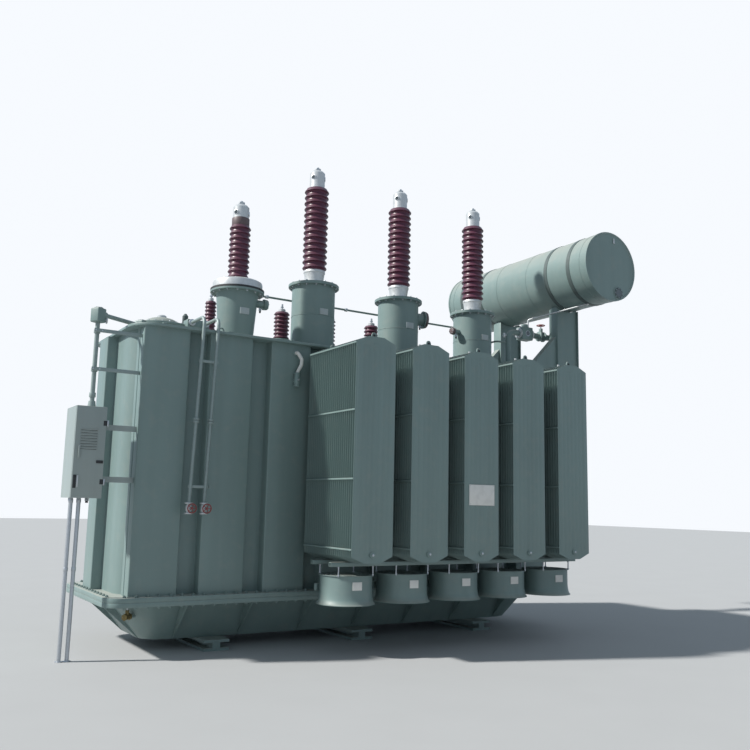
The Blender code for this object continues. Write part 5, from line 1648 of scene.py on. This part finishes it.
SKY_TONE = (0.76, 0.89, 1.0, 1)
SEEN_SKIES = (("Is Glossy Ray", (0.62, 0.79, 1.0, 1), 0.75), ("Is Camera Ray", (0.93, 0.96, 1.0, 1), 1.0))
SUN_WIDTH = 3
SUN_TONE = (1.0, 0.97, 0.92)
SUN_RUN = (0.8, -0.28, -0.72)
FLOOR_HALF = 60
FILM_WIDTH = 36
FAR_CLIP = 500


class TRANSFORMER_OT_stage(bpy.types.Operator):
    """Plain floor, sky, sun and the photograph's camera"""
    bl_idname = "transformer.stage"
    bl_label = "Stage"

    def execute(self, context):
        stage = settings().stage
        self.make_floor(stage)
        self.make_lights(stage)
        self.make_camera(stage)
        context.scene.view_settings.view_transform = "Standard"
        return {"FINISHED"}

    def make_floor(self, stage):
        """A large plain floor."""
        shape = bmesh.new()
        bmesh.ops.create_grid(shape, x_segments=1, y_segments=1, size=FLOOR_HALF)
        mesh = bpy.data.meshes.new("floor")
        shape.to_mesh(mesh)
        shape.free()
        graph = Graph("studio_floor")
        speck = graph.noise(1.4, 4.0)
        tone = graph.mix(speck, shade(stage.floor, 0.97), shade(stage.floor, 1.03))
        graph.surface(Base_Color=tone, Roughness=0.85)
        mesh.materials.append(graph.material)
        floor = bpy.data.objects.new("floor", mesh)
        bpy.context.scene.collection.objects.link(floor)

    def make_lights(self, stage):
        """An even sky, which gloss and the camera see lighter, and a sun high on the left and behind."""
        world = bpy.data.worlds.new("studio")
        bpy.context.scene.world = world
        world.use_nodes = True
        nodes = world.node_tree.nodes
        links = world.node_tree.links
        path = nodes.new("ShaderNodeLightPath")
        seen = nodes["Background"].outputs[0]
        nodes["Background"].inputs["Color"].default_value = SKY_TONE
        nodes["Background"].inputs["Strength"].default_value = stage.sky
        for ray, tone, strength in SEEN_SKIES:
            other = nodes.new("ShaderNodeBackground")
            other.inputs["Color"].default_value = tone
            other.inputs["Strength"].default_value = strength
            mix = nodes.new("ShaderNodeMixShader")
            links.new(path.outputs[ray], mix.inputs[0])
            links.new(seen, mix.inputs[1])
            links.new(other.outputs[0], mix.inputs[2])
            seen = mix.outputs[0]
        links.new(seen, nodes["World Output"].inputs["Surface"])
        sun = bpy.data.lights.new("sun", "SUN")
        sun.energy = stage.sun
        sun.angle = math.radians(SUN_WIDTH)
        sun.color = SUN_TONE
        lamp = bpy.data.objects.new("sun", sun)
        lamp.rotation_euler = Vector(SUN_RUN).to_track_quat("-Z", "Y").to_euler()
        bpy.context.scene.collection.objects.link(lamp)

    def make_camera(self, stage):
        """The camera of the photograph."""
        right = Vector(stage.right).normalized()
        down = Vector(stage.down)
        up = -(down - right * down.dot(right)).normalized()
        back = right.cross(up)
        turn = Matrix((right, up, back)).transposed().to_4x4()
        camera = bpy.data.cameras.new("camera")
        camera.sensor_width = FILM_WIDTH
        camera.lens = stage.lens
        camera.clip_end = FAR_CLIP
        made = bpy.data.objects.new("camera", camera)
        made.matrix_world = Matrix.Translation(stage.eye) @ turn
        bpy.context.scene.collection.objects.link(made)
        bpy.context.scene.camera = made


OPERATORS = (TRANSFORMER_OT_tank, TRANSFORMER_OT_radiators, TRANSFORMER_OT_fans,
             TRANSFORMER_OT_bushings, TRANSFORMER_OT_conservator, TRANSFORMER_OT_cabinet,
             TRANSFORMER_OT_pipework, TRANSFORMER_OT_stage)


class TRANSFORMER_PT_panel(bpy.types.Panel):
    """Buttons for each group of pieces"""
    bl_idname = "TRANSFORMER_PT_panel"
    bl_label = "Transformer"
    bl_space_type = "VIEW_3D"
    bl_region_type = "UI"
    bl_category = "Transformer"

    def draw(self, context):
        for operator in OPERATORS:
            self.layout.operator(operator.bl_idname)


GROUPS = (FinishSettings, TankSettings, RadiatorSettings, FanSettings, BushingSettings,
          ConservatorSettings, CabinetSettings, TapSettings, StageSettings, TransformerSettings)
CLASSES = GROUPS + OPERATORS + (TRANSFORMER_PT_panel,)


def register():
    """Register the classes and the scene's settings."""
    for item in CLASSES:
        bpy.utils.register_class(item)
    bpy.types.Scene.transformer = PointerProperty(type=TransformerSettings)


def unregister():
    """Undo register."""
    del bpy.types.Scene.transformer
    for item in reversed(CLASSES):
        bpy.utils.unregister_class(item)


def main():
    """Make everything in order."""
    register()
    make_finishes()
    for operator in OPERATORS:
        group, name = operator.bl_idname.split(".")
        getattr(getattr(bpy.ops, group), name)()


if __name__ == "__main__":
    main()
